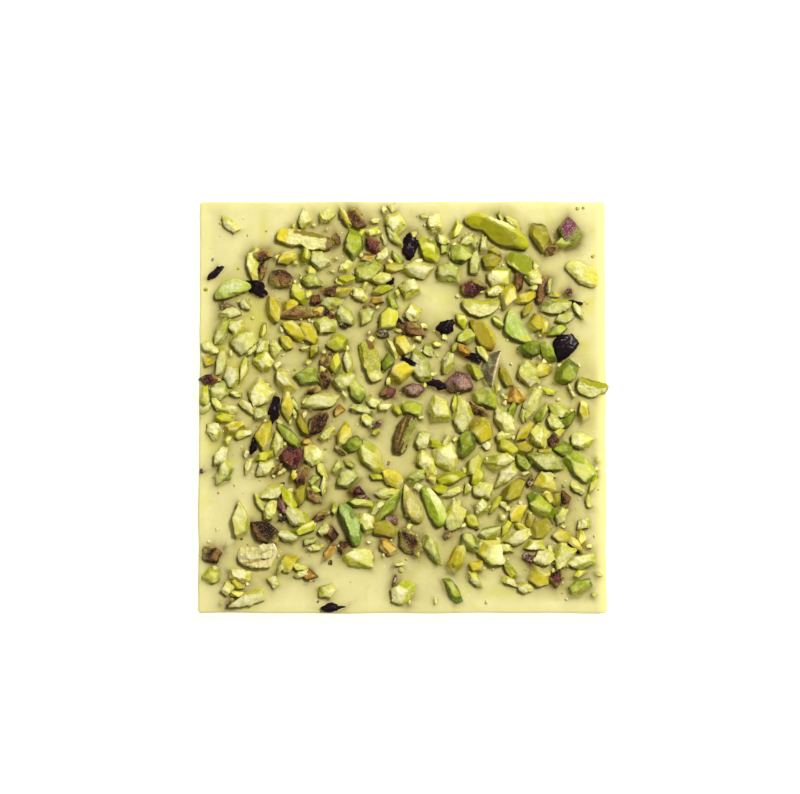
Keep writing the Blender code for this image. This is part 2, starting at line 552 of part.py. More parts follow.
def husk(name, materials, grow=0.0):
    """A thin shell: its width swells as a sine between the tips, and its rim side curls upwards."""
    (first_x, first_y), (last_x, last_y) = HUSK_TIPS
    length = math.hypot(last_x - first_x, last_y - first_y)
    ahead = np.array([(last_x - first_x) / length, (last_y - first_y) / length, 0])
    aside = np.array([-ahead[1], ahead[0], 0])
    along, across = np.meshgrid(
        np.linspace(0, 1, HUSK_STEPS[0]), np.linspace(0, 1, HUSK_STEPS[1]), indexing="ij"
    )
    breadth = 0.35 + (HUSK_WIDTH - 0.35) * np.sin(math.pi * along) ** 0.7
    place_x = -grow + (length + 2 * grow) * along
    place_y = -grow + (breadth + 2 * grow) * across
    curl = HUSK_LIFT + HUSK_RISE * (0.35 + 0.65 * np.sin(math.pi * along)) * (1 - across) ** 1.6
    middle = np.array([first_x, first_y, BAR_HEIGHT])
    flat = middle + place_x[..., None] * ahead + place_y[..., None] * aside
    thickness = HUSK_THICKNESS + 2.4 * grow
    low = flat + (curl - thickness * 0.7)[..., None] * (0, 0, 1)
    high = low + (0, 0, thickness)
    rows, columns = HUSK_STEPS
    points = np.concatenate([low.reshape(-1, 3), high.reshape(-1, 3)])
    count = rows * columns
    faces = []
    for i in range(rows - 1):
        for j in range(columns - 1):
            a, b = i * columns + j, (i + 1) * columns + j
            faces += [(a, b + 1, b), (a, a + 1, b + 1)]
            faces += [(count + a, count + b, count + b + 1), (count + a, count + b + 1, count + a + 1)]
    rim = [i * columns for i in range(rows)]
    rim += [(rows - 1) * columns + j for j in range(1, columns)]
    rim += [i * columns + columns - 1 for i in range(rows - 2, -1, -1)]
    rim += list(range(columns - 2, 0, -1))
    for k, here in enumerate(rim):
        after = rim[(k + 1) % len(rim)]
        faces += [(here, after, count + after), (here, count + after, count + here)]
    return mesh_object(name, points, faces, materials)


def join(target, others, operation):
    """Applies one Boolean of a whole collection to target and removes the collection's objects."""
    group = bpy.data.collections.new(operation.lower())
    for other in others:
        group.objects.link(other)
    cut = target.modifiers.new(operation.lower(), "BOOLEAN")
    cut.operation = operation
    cut.operand_type = "COLLECTION"
    cut.collection = group
    cut.solver = "MANIFOLD"
    bpy.context.view_layer.objects.active = target
    bpy.ops.object.modifier_apply(modifier=cut.name)
    for other in others:
        bpy.data.objects.remove(other)
    bpy.data.collections.remove(group)


def topping(materials):
    """All fragments that are fused to the slab, each shape drawn from its own seed."""
    made = []
    for group, (kind, places) in enumerate(PLACED.items()):
        sink = FLAKE_SINK if kind == "petal" else CHUNK_SINK
        for k, place in enumerate(places):
            rng = np.random.default_rng([SEED, group, k])
            slot = MATERIAL_OF.get(kind, 1)
            made.append(fragment(f"{kind}_{k}", place, rng, slot, sink, materials))
    return made


def main():
    for old in list(bpy.data.objects):
        bpy.data.objects.remove(old)
    chocolate = material("white_chocolate", (0.80, 0.70, 0.33), 0.35)
    nut = material("pistachio", (0.56, 0.58, 0.20), 0.6)
    skin = material("pistachio_skin", (0.16, 0.07, 0.04), 0.6)
    petal = material("dried_petal", (0.02, 0.012, 0.014), 0.4)
    materials = (chocolate, nut, skin, petal)

    bar = slab(materials)
    pieces = topping(materials)
    print(len(pieces), "fragments")
    join(bar, pieces, "UNION")
    pockets = [kernel(f"pocket_{n}", place, materials, POCKET_GAP) for n, place in KERNELS.items()]
    pockets.append(husk("pocket_husk", materials, POCKET_GAP))
    join(bar, pockets, "DIFFERENCE")
    for name, place in KERNELS.items():
        made = kernel(name, place, (nut,))
        made.data.shade_smooth()
    husk("husk_curl", (skin,))


main()
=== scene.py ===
# White chocolate bar: the looks of the slab, its nut chunks, kernels, petals, husk and crumbs.
# Lengths are in millimetres until a mesh is made, and colours are written as 0 to 255 screen values.
import math

import bpy
import numpy as np
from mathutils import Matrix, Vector


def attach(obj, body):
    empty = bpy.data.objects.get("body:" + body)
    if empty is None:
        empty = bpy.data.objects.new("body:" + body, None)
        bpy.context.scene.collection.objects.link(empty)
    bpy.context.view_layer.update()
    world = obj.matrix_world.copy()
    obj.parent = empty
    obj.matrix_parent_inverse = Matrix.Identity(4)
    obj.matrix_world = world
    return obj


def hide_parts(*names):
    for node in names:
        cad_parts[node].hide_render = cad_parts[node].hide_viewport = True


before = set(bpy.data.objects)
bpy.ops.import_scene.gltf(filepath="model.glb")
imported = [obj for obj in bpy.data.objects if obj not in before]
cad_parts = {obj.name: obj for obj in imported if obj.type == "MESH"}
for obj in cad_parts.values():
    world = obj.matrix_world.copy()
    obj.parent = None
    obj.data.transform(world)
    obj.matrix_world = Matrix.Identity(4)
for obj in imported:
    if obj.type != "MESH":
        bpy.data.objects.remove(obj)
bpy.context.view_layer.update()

mm = 0.001

# rimLift: height of the low bead, its distance in from the edge and its breadth. markFade: how far
# below the poured face the marks are gone and where they are full. markReach: how far each mark
# spreads round a piece; the marks that darken the chocolate round the pieces are painted shade and
# painted cast shadow, the widest ring partly an oil stain as well. leeShift: how far a point moves
# toward the light when finding the pieces whose painted shadow falls on it. The side and end margins:
# how far in from the edge the painted glow along the edges is full and gone, stronger on the right,
# the lit side. stains: x, y, reach across and reach along
slab = {
    "width": 100.0,
    "depth": 101.3,
    "height": 7.2,
    "cornerRadius": 0.9,
    "topEdgeRadius": 0.5,
    "footEdgeRadius": 0.7,
    "wallDraft": 0.35,
    "gridStep": 0.38,
    "waveHeight": 0.10,
    "meniscusHeight": 0.34,
    "meniscusReach": 0.5,
    "edgeWander": 0.12,
    "rimLift": (0.12, 1.6, 1.2),
    "settled": 0.05,
    "markFade": (2.2, 0.3),
    "tuck": 0.16,
    "leeShift": (0.40, 0.48),
    "farAway": 9.0,
    "seenFrom": 4.0,
    "crowdReach": 5.5,
    "crowdFull": 0.6,
    "markReach": {
        "oilAndShadeHalo": 1.5, "contactShade": 0.42, "skinShade": 1.0, "between": 0.75, "leeShadow": 0.25, "softLeeShadow": 1.1,
    },
    "sideGlow": (0.4, 3.4),
    "leftWeight": 0.6,
    "endGlow": (0.2, 3.5),
    "endWeight": 0.25,
    "stains": (
        (-34.3, 44.0, 1.3, 4.2), (-36.5, 21.0, 4.5, 5.0), (45.6, 24.5, 2.0, 2.6), (45.0, 14.5, 1.4, 2.4),
        (-41.5, 8.0, 2.6, 4.0), (-47.0, -9.0, 2.2, 3.0), (24.0, -45.5, 4.5, 1.8),
    ),
}

setting = {
    "seed": 20,
    "chunkSink": 0.32,
    "kernelSink": 0.9,
    "flakeSink": 0.35,
    "count": 130,
    "length": 1.5,
    "lengthSpread": 0.24,
    "lengthLimits": (1.0, 2.3),
    "edgeMargin": 0.3,
    "mostHeight": 1.6,
    "tries": 260,
    "spacing": 0.36,
    "kernelReach": 0.85,
}

# x, y, length, width, height, turn in degrees, sideways bow, taper towards +x, and how pointed the
# ends are, from 0 for square to 1 for sharp
kernelPlaces = {
    "long_sliver": (-24.0, 41.1, 13.9, 4.0, 3.0, -10, 0.15, -0.04, 0.22),
    "great_half": (23.4, 43.2, 17.2, 5.4, 3.4, -24, 0.45, 0.05, 0.4),
    "lower_half": (28.7, 35.3, 7.2, 4.2, 2.6, -38, 0.1, 0.1, 0.35),
    "leaf_kernel": (28.4, 19.3, 9.8, 4.2, 3.0, -57, -0.7, -0.1, 0.55),
    "golden_slice": (19.7, 17.8, 9.3, 4.5, 2.8, -53, 0.35, 0.2, 0.62),
    "cream_half": (19.3, 24.7, 9.5, 4.0, 3.0, 0, -0.8, 0.0, 0.42),
    "coated_kernel": (44.3, 32.8, 9.2, 4.5, 2.2, -33, 0.3, 0.1, 0.35),
    "edge_slice": (46.6, 4.7, 7.9, 4.0, 3.2, -9, -0.4, -0.15, 0.3),
    "pale_chip": (-7.7, 11.1, 10.3, 4.0, 2.8, -72, 0.1, 0.0, 0.18),
    "wrinkled_kernel": (-12.8, -29.0, 10.9, 3.7, 3.0, -69, 0.2, 0.0, 0.36),
    "drop_kernel": (2.3, -23.9, 10.2, 3.6, 2.8, -68, -0.25, 0.5, 0.55),
    "bright_kernel": (7.6, -24.4, 10.7, 4.2, 3.2, -64, 0.4, 0.15, 0.38),
    "brown_slice": (0.5, -6.8, 9.9, 4.3, 3.0, 71, 0.0, 0.0, 0.28),
    "speckled_kernel": (-35.4, -36.4, 9.8, 4.8, 2.8, 14, -0.3, 0.1, 0.35),
    "dusty_kernel": (-41.8, 28.6, 9.3, 4.0, 2.8, 18, 0.45, 0.0, 0.45),
}

# x, y, length, width, height, turn in degrees
placed = {
    "petal": (
        (2.1, 39.7, 6.6, 3.8, 1.0, 85), (40.2, 15.3, 7.0, 5.0, 1.1, 28), (-31.3, -0.6, 6.8, 2.8, 1.1, 82),
        (-16.3, -49.0, 7.2, 2.1, 1.0, 5), (8.9, 5.2, 6.4, 2.2, 1.1, -18), (10.2, 19.2, 4.6, 3.4, 1.1, 20),
        (-35.8, 29.0, 5.8, 3.2, 1.1, -45), (-45.8, 33.2, 4.3, 1.8, 0.9, 48),
        (-36.6, -9.6, 4.2, 1.6, 1.0, 78), (1.8, 10.9, 4.8, 1.3, 2.6, -28), (-21.9, 3.7, 4.4, 2.0, 1.2, 22),
        (17.2, 12.1, 4.8, 1.8, 1.2, -22), (-3.2, 30.4, 2.4, 1.3, 1.4, 20), (-0.9, 20.9, 2.4, 1.2, 1.6, -50),
        (42.2, -34.9, 3.2, 0.9, 1.4, -45), (42.4, 25.6, 4.5, 0.8, 1.2, -12),
    ),
    "brown": (
        (-34.4, 37.2, 3.8, 2.8, 2.2, 10), (-34.4, 33.6, 4.0, 2.1, 1.8, 80),
        (-29.8, 31.4, 5.8, 4.0, 2.4, -22), (-26.3, 23.0, 7.2, 2.8, 2.4, 8), (2.2, 19.0, 6.6, 3.2, 2.2, -14),
        (-11.6, 46.1, 6.2, 3.8, 2.2, -60), (-20.8, -4.0, 7.4, 3.0, 2.6, 54),
        (-46.3, -36.0, 4.4, 3.8, 2.0, -30), (1.9, -33.2, 5.8, 4.8, 2.6, -50),
        (-33.4, -31.0, 7.4, 4.4, 2.8, -28), (28.6, 30.8, 4.8, 2.3, 2.4, 82),
        (34.4, 28.8, 7.6, 2.6, 2.2, 72), (37.3, -8.4, 3.6, 3.0, 1.8, 20), (39.9, -23.2, 3.6, 2.0, 1.8, 78),
        (-22.0, -21.8, 4.6, 2.0, 2.0, -52), (-17.4, -31.2, 3.2, 2.6, 2.0, -45),
        (36.4, 38.6, 3.2, 2.2, 1.8, 10), (18.6, -0.8, 5.2, 2.0, 1.8, -33),
        (-20.0, -27.0, 4.5, 1.7, 1.8, 30), (-19.0, 6.6, 4.5, 2.8, 2.4, 88),
        (-21.3, 26.3, 3.0, 2.2, 2.2, 80), (-17.4, 28.2, 3.6, 2.4, 2.0, 20),
        (-18.3, 22.6, 3.0, 2.4, 1.8, -30), (-16.3, 41.0, 3.2, 2.0, 2.0, 80),
        (-18.6, 11.2, 4.2, 2.8, 2.4, 60), (-24.6, -16.9, 5.4, 2.8, 2.2, 60),
        (-14.6, -34.2, 3.4, 2.0, 1.8, 70), (14.7, 13.9, 4.4, 1.9, 2.2, -30),
    ),
    "maroon": (
        (-7.2, 39.6, 5.0, 3.2, 2.4, -55), (17.0, 29.2, 6.0, 3.6, 2.4, 2),
        (-27.2, -12.6, 5.6, 4.8, 2.8, -40), (-47.4, 6.4, 3.6, 2.8, 1.8, 35),
        (37.8, -42.1, 3.2, 2.8, 2.2, 45), (-11.2, -21.0, 3.2, 2.3, 1.8, 12), (-3.2, 3.5, 3.6, 2.6, 1.8, 0),
    ),
    "mauve": (
        (14.2, 6.1, 5.9, 5.6, 3.0, 0), (2.9, 4.0, 5.2, 2.8, 2.2, 2), (41.0, 43.0, 6.0, 5.8, 3.4, 60),
        (-2.6, -27.9, 3.0, 2.4, 1.8, 0), (-29.3, -25.0, 4.6, 1.9, 2.2, -70),
    ),
    "orange": (
        (-3.8, -34.3, 4.8, 2.6, 2.2, -45), (-18.0, -35.7, 4.8, 1.9, 1.8, 55),
        (28.0, 2.0, 3.6, 3.2, 2.2, -40), (-21.0, 23.4, 3.0, 2.2, 1.8, 0), (-22.9, -41.4, 2.8, 2.4, 1.8, 30),
    ),
    "yellow": (
        (-28.5, 36.4, 5.2, 3.0, 2.2, 18), (-31.6, 23.8, 7.0, 3.1, 2.6, -80),
        (-26.5, 18.5, 6.0, 3.3, 2.6, -50), (-2.0, 34.2, 4.9, 2.4, 2.0, 5), (6.6, 38.4, 6.2, 3.9, 2.8, -50),
        (30.6, 26.8, 4.8, 2.6, 2.2, 25), (26.2, 27.2, 5.4, 3.8, 2.6, 70), (33.4, 20.6, 4.2, 4.0, 2.6, 0),
        (-33.8, -7.0, 6.4, 3.8, 2.6, 80), (-28.2, 0.0, 6.6, 2.9, 2.4, 88), (0.2, 15.2, 5.6, 3.7, 2.6, -50),
        (25.2, 7.3, 5.6, 2.3, 2.2, -65), (34.4, 9.0, 4.0, 3.2, 2.4, 0), (-14.3, -7.0, 5.6, 3.1, 2.6, 70),
        (-2.5, -17.5, 5.4, 3.6, 2.6, -45), (13.4, -37.0, 6.2, 3.3, 2.6, 70),
        (19.8, -6.0, 5.2, 4.6, 2.6, -80), (23.8, -13.3, 5.8, 3.8, 2.6, 15),
        (28.2, -26.3, 4.8, 3.4, 2.4, 65), (-24.6, -4.6, 6.6, 2.2, 2.2, -70), (-0.4, 8.6, 5.8, 4.6, 3.0, 30),
        (18.0, -39.3, 3.3, 2.7, 2.0, 0), (-47.5, 11.0, 2.8, 2.4, 1.8, 0), (-27.2, 25.3, 3.6, 2.2, 1.6, 30),
        (-15.2, 28.3, 5.6, 2.0, 2.0, -3), (-28.4, 15.6, 3.8, 2.6, 2.2, -50),
        (-41.1, -5.2, 5.0, 2.8, 2.2, 20), (44.4, -1.5, 4.4, 2.8, 2.4, 88),
        (30.2, -10.2, 4.2, 3.2, 2.6, -10), (29.8, -6.4, 6.4, 2.4, 2.6, 50),
        (-28.0, -38.4, 4.2, 3.6, 2.2, 60), (34.8, -18.7, 5.0, 4.0, 2.6, -10),
        (36.0, -22.6, 3.8, 1.8, 1.8, -60), (39.0, -31.7, 4.0, 3.2, 2.2, 0),
        (42.4, -33.8, 4.6, 1.8, 2.0, -50), (43.9, -32.2, 3.8, 2.0, 1.8, -80),
        (32.6, -34.0, 4.8, 2.6, 2.2, 10), (33.8, -42.0, 4.8, 4.2, 2.6, 0),
    ),
    "green": (
        (-11.8, 39.8, 6.0, 4.3, 2.6, 80), (-25.5, 27.6, 4.8, 3.0, 2.4, -55),
        (14.3, 37.6, 4.8, 4.2, 3.0, -30), (34.0, 42.2, 6.2, 4.2, 3.0, -55), (21.8, 35.6, 4.6, 3.4, 2.6, 40),
        (23.6, 31.9, 6.2, 4.2, 3.0, -4), (11.4, 33.3, 6.0, 4.6, 2.8, -20), (-44.6, 11.0, 6.6, 2.4, 2.2, 80),
        (-45.0, 3.6, 5.0, 3.8, 2.6, 20), (-27.6, -7.4, 6.6, 3.0, 2.4, -45), (-23.6, 7.2, 5.2, 3.8, 2.6, 0),
        (-29.3, 6.6, 5.5, 3.1, 2.6, -60), (-38.8, 9.5, 6.0, 1.9, 2.0, 75), (-10.9, 3.4, 5.0, 3.8, 2.6, -52),
        (-3.7, 10.6, 3.4, 2.6, 2.6, 55), (2.4, -0.6, 5.4, 3.6, 2.4, -18), (-12.0, -9.3, 4.6, 3.8, 2.6, 30),
        (15.6, -8.7, 6.2, 4.0, 2.8, 70), (20.5, 1.7, 6.0, 4.0, 2.8, -20), (31.6, 14.2, 5.0, 4.0, 2.6, 0),
        (35.6, 13.5, 5.5, 3.0, 2.6, -60), (40.6, 8.2, 5.6, 4.4, 2.6, 60), (39.6, -10.6, 4.2, 3.4, 2.4, 0),
        (44.0, -15.6, 7.8, 4.2, 2.6, -42), (-39.5, -28.0, 7.8, 3.7, 2.8, -85),
        (-4.2, -30.0, 5.6, 3.8, 2.4, -28), (12.3, -44.9, 6.3, 2.6, 2.2, -60),
        (33.9, -24.4, 8.0, 3.8, 2.8, -38), (34.3, -29.7, 6.2, 3.8, 2.6, 48),
        (21.9, -36.0, 7.2, 4.8, 3.0, -55), (27.2, -20.7, 7.2, 3.8, 2.8, 50),
        (43.5, -44.2, 6.4, 3.1, 2.4, 28), (-7.5, -13.1, 7.6, 4.2, 3.0, -52),
        (-2.5, 25.6, 4.6, 1.8, 2.2, -70), (23.4, 20.8, 3.8, 1.6, 1.8, -45), (15.6, 17.2, 4.4, 3.2, 2.8, 20),
        (40.6, -3.6, 5.0, 2.0, 2.4, 50), (29.7, -13.9, 4.6, 2.6, 2.4, -50),
        (-25.0, -22.0, 4.4, 3.0, 2.4, 80), (-10.4, -23.6, 5.6, 1.9, 2.2, -5),
        (16.5, -33.2, 5.6, 3.2, 2.6, -45),
    ),
    "cream": (
        (-42.3, 44.5, 4.6, 2.3, 2.0, -38), (-24.2, 46.2, 4.2, 2.3, 2.2, 82),
        (-18.7, 46.9, 3.6, 3.0, 2.2, 40), (-1.9, 45.6, 5.0, 4.4, 2.4, -50),
        (-37.0, 34.9, 6.6, 2.9, 2.6, -75), (-20.5, 36.1, 5.2, 4.0, 2.6, -45),
        (3.6, 33.5, 5.8, 4.0, 2.6, -12), (-3.4, 21.5, 5.4, 4.6, 3.0, 60), (32.3, 31.6, 4.4, 3.8, 2.8, -30),
        (37.8, 24.5, 6.4, 3.5, 2.4, 2), (-39.0, 15.9, 6.0, 4.8, 2.8, 10), (-35.0, 3.0, 5.8, 5.4, 2.8, 50),
        (-22.0, -12.2, 5.0, 4.8, 2.8, -10), (-14.3, 6.2, 5.4, 3.8, 2.6, 12), (4.4, 9.4, 7.2, 3.9, 2.8, -58),
        (9.0, -0.6, 5.6, 5.0, 3.0, -75), (14.8, -2.3, 7.2, 4.2, 2.8, 80), (31.8, 0.7, 7.8, 3.5, 2.8, 70),
        (24.8, -3.4, 7.4, 4.0, 2.8, -58), (31.0, 7.8, 7.0, 4.9, 2.6, -66),
        (10.8, -12.3, 5.8, 5.2, 2.8, -40), (35.6, -13.6, 7.8, 4.3, 3.0, -15),
        (43.6, -8.5, 4.6, 3.9, 2.6, -30), (-26.0, -27.2, 6.4, 4.1, 2.8, -35),
        (-37.8, -47.1, 8.6, 3.1, 2.4, 19), (-39.9, -41.1, 4.8, 3.1, 2.2, -8),
        (-10.4, -36.9, 6.5, 4.5, 2.6, -12), (-8.8, -28.3, 4.8, 3.6, 2.8, -62),
        (-0.4, -45.8, 5.8, 4.8, 2.6, 60), (12.8, -27.4, 5.6, 5.2, 2.8, 60),
        (39.1, -37.0, 5.8, 4.2, 2.8, 58), (43.9, -37.9, 7.0, 2.7, 2.2, 12),
        (-40.8, 19.8, 4.2, 3.2, 2.2, 10), (-23.0, 18.0, 6.0, 3.0, 2.8, -48), (7.8, 45.1, 4.4, 3.4, 2.4, 85),
        (15.9, 40.9, 3.8, 2.2, 2.4, 30), (-5.2, 37.0, 4.2, 2.5, 2.2, 40), (-10.5, 27.6, 4.0, 2.8, 2.4, -40),
        (1.7, 29.2, 4.6, 4.0, 2.8, 10), (2.4, 22.7, 4.4, 3.4, 2.6, -80), (20.0, 40.0, 3.6, 1.6, 2.2, 85),
        (26.8, 45.6, 4.0, 1.5, 2.0, -35), (22.8, 28.3, 4.6, 2.4, 2.4, 15),
        (-47.4, 14.2, 4.6, 2.3, 2.0, -35), (-42.0, 7.2, 5.0, 3.8, 2.8, 80),
        (-36.9, 13.8, 3.8, 1.6, 1.8, 40), (-31.2, 14.3, 3.4, 2.8, 2.2, -50),
        (-33.8, 10.8, 4.4, 3.6, 2.6, -20), (-45.8, 1.0, 4.0, 1.8, 1.8, -60),
        (-42.8, -0.6, 3.6, 2.0, 1.8, -15), (-38.0, -0.2, 4.2, 2.2, 2.0, -40),
        (-46.2, -6.0, 4.0, 3.4, 2.0, 90), (-44.4, -12.1, 5.0, 2.8, 2.2, 60),
        (-37.7, -14.5, 3.6, 1.6, 1.6, 70), (-33.9, -15.5, 3.6, 3.0, 2.4, 70),
        (-18.5, -6.7, 4.2, 2.4, 2.2, 50), (-19.8, 1.2, 8.8, 3.2, 2.6, 6),
        (-19.9, -15.6, 3.8, 1.7, 1.8, -65), (-13.4, 11.0, 4.8, 2.2, 2.4, -75),
        (-2.7, 14.6, 4.8, 1.4, 1.8, -60), (-7.2, 0.9, 3.2, 2.2, 1.8, -20), (-8.5, -3.5, 3.6, 2.2, 2.0, -50),
        (4.8, -8.3, 4.6, 3.4, 2.6, 70), (5.6, -13.9, 5.6, 3.6, 2.6, -70), (19.8, 13.1, 4.6, 1.9, 2.2, -50),
        (33.3, -7.0, 5.0, 4.4, 3.0, 80), (24.5, -7.3, 3.4, 2.2, 2.2, 30), (25.5, -16.8, 6.4, 3.2, 2.6, 45),
        (-31.8, -21.0, 5.8, 2.8, 2.6, 25), (-34.9, -23.8, 4.2, 1.4, 1.8, -65),
        (-32.6, -25.8, 4.8, 3.0, 2.6, 65), (-19.3, -19.2, 5.2, 1.2, 1.8, 80),
        (-19.2, -30.3, 3.0, 2.0, 2.0, 50), (-25.2, -39.3, 4.2, 1.7, 1.8, -20),
        (-24.6, -41.0, 4.0, 1.5, 1.8, 15), (-31.4, -43.0, 3.0, 2.2, 1.4, -60),
        (-42.8, -44.6, 3.0, 2.4, 2.0, 60), (-18.2, -45.2, 4.0, 3.2, 2.2, 30),
        (12.3, -21.0, 5.0, 2.0, 2.2, 20), (17.6, -42.3, 4.2, 1.9, 2.0, -50),
        (19.8, -20.4, 5.2, 3.8, 2.6, -20), (43.2, -20.4, 3.4, 1.8, 1.8, -30),
        (38.9, -26.7, 4.6, 3.0, 2.4, 60), (44.2, -28.8, 3.2, 2.4, 2.0, 10),
        (28.2, -31.9, 6.6, 3.2, 2.6, 20), (19.2, -24.4, 4.2, 3.2, 2.4, 70),
        (25.4, -34.7, 3.2, 2.2, 2.0, -10), (34.6, -36.9, 4.8, 3.6, 2.6, 20),
        (30.0, -44.5, 3.4, 2.4, 2.0, -10),
    ),
    "lime": (
        (-23.8, 37.6, 4.2, 2.3, 2.2, 88), (-34.2, 18.6, 4.0, 1.5, 1.8, 75), (-5.0, 28.8, 4.6, 2.2, 2.2, 20),
        (13.4, 43.5, 4.2, 1.9, 2.0, 65), (14.6, 21.2, 3.8, 2.4, 2.2, -50), (30.6, 23.6, 3.6, 1.8, 2.2, 65),
        (-16.4, 10.6, 4.8, 2.4, 2.6, 88), (-16.0, 15.4, 4.8, 3.8, 2.8, 0), (-48.4, 2.6, 5.0, 2.2, 2.2, 88),
        (-43.8, -2.9, 4.6, 2.2, 1.8, -5), (-33.8, -12.2, 4.6, 2.2, 2.0, 20),
        (17.7, -14.2, 5.2, 3.0, 2.6, 55), (18.0, 8.4, 4.4, 2.4, 2.4, -50), (34.2, -1.7, 5.4, 1.9, 2.2, 55),
        (25.8, -10.0, 5.4, 3.0, 2.4, -30), (-27.8, -22.8, 6.2, 2.6, 2.8, -60),
        (18.4, -17.4, 4.4, 3.0, 2.6, 60), (17.0, -27.8, 4.6, 2.8, 2.4, -50),
        (37.7, -22.7, 3.6, 2.0, 2.0, 70), (46.8, -19.0, 4.2, 1.4, 1.8, 65),
        (25.4, -29.7, 3.8, 1.8, 1.8, 60), (22.8, -23.8, 4.2, 1.8, 2.0, 60),
        (26.4, -40.4, 4.0, 1.8, 1.8, -50), (-46.5, -41.6, 3.8, 3.2, 2.2, 0),
        (-24.0, -30.0, 5.4, 2.6, 2.4, 20), (9.3, -20.4, 3.0, 2.0, 2.2, -10),
        (11.4, -17.8, 6.4, 2.8, 2.4, 15), (8.3, -9.3, 3.2, 1.8, 1.8, 0),
    ),
    "sage": (
        (-22.6, 30.9, 5.0, 3.2, 2.6, -5), (-42.0, 23.0, 4.6, 2.2, 1.8, 5),
        (-38.7, 25.0, 3.2, 2.0, 1.8, -30), (-44.4, 18.2, 7.2, 2.7, 2.4, 66),
        (-17.9, 25.3, 4.4, 2.6, 2.2, 10), (-18.7, 20.0, 4.8, 3.4, 2.6, -20),
        (-2.0, 41.7, 4.8, 1.9, 2.0, -50), (9.8, 41.1, 3.4, 2.0, 2.4, -40), (-8.3, 33.4, 6.8, 4.2, 2.8, 35),
        (-5.0, 31.5, 4.8, 3.0, 2.6, 5), (-14.0, 34.6, 3.2, 2.4, 1.8, 40), (-13.9, 31.3, 4.8, 2.1, 2.0, 5),
        (-13.9, 22.2, 5.4, 3.4, 2.8, -40), (-8.8, 22.2, 4.0, 3.2, 2.2, 60),
        (17.6, 40.6, 3.2, 2.0, 2.2, -60), (17.7, 35.3, 6.0, 2.5, 2.6, 88), (39.8, 21.6, 3.8, 2.4, 2.0, 10),
        (43.2, 23.4, 4.4, 1.4, 1.8, -60), (38.2, 18.7, 4.2, 2.4, 2.2, 25), (-34.7, 14.6, 4.4, 2.7, 2.2, 60),
        (-34.7, -1.8, 3.0, 2.7, 2.0, 10), (-39.0, -6.8, 4.8, 1.8, 1.8, 20),
        (-30.7, -9.3, 5.0, 2.4, 2.2, 75), (-43.6, -16.4, 5.4, 3.8, 2.4, 60),
        (6.3, 13.7, 3.0, 2.2, 1.8, -60), (11.2, 11.0, 4.4, 2.9, 2.6, 70), (-10.0, -0.7, 5.6, 2.1, 2.0, -18),
        (38.2, -1.1, 4.8, 3.0, 2.4, -30), (37.4, -4.0, 4.8, 3.2, 2.6, -50), (26.9, -0.8, 4.6, 1.8, 2.0, 70),
        (-28.0, -31.8, 5.0, 2.7, 2.2, -20), (-21.7, -34.7, 3.6, 1.7, 1.6, 5),
        (-13.4, -17.8, 5.6, 3.8, 2.6, 25), (-4.0, -21.2, 5.4, 2.4, 2.4, 3),
        (-3.2, -24.6, 8.6, 2.4, 2.6, 52), (-6.2, -24.7, 4.8, 2.0, 2.2, 45), (3.4, -17.2, 4.8, 2.8, 2.4, 20),
        (7.2, -34.6, 6.6, 3.0, 2.4, -65), (21.4, -30.9, 5.6, 2.5, 2.4, 15),
    ),
    "olive": (
        (-21.8, 13.6, 3.0, 2.3, 2.0, 70), (31.2, -28.0, 3.6, 2.2, 1.8, 80),
    ),
}

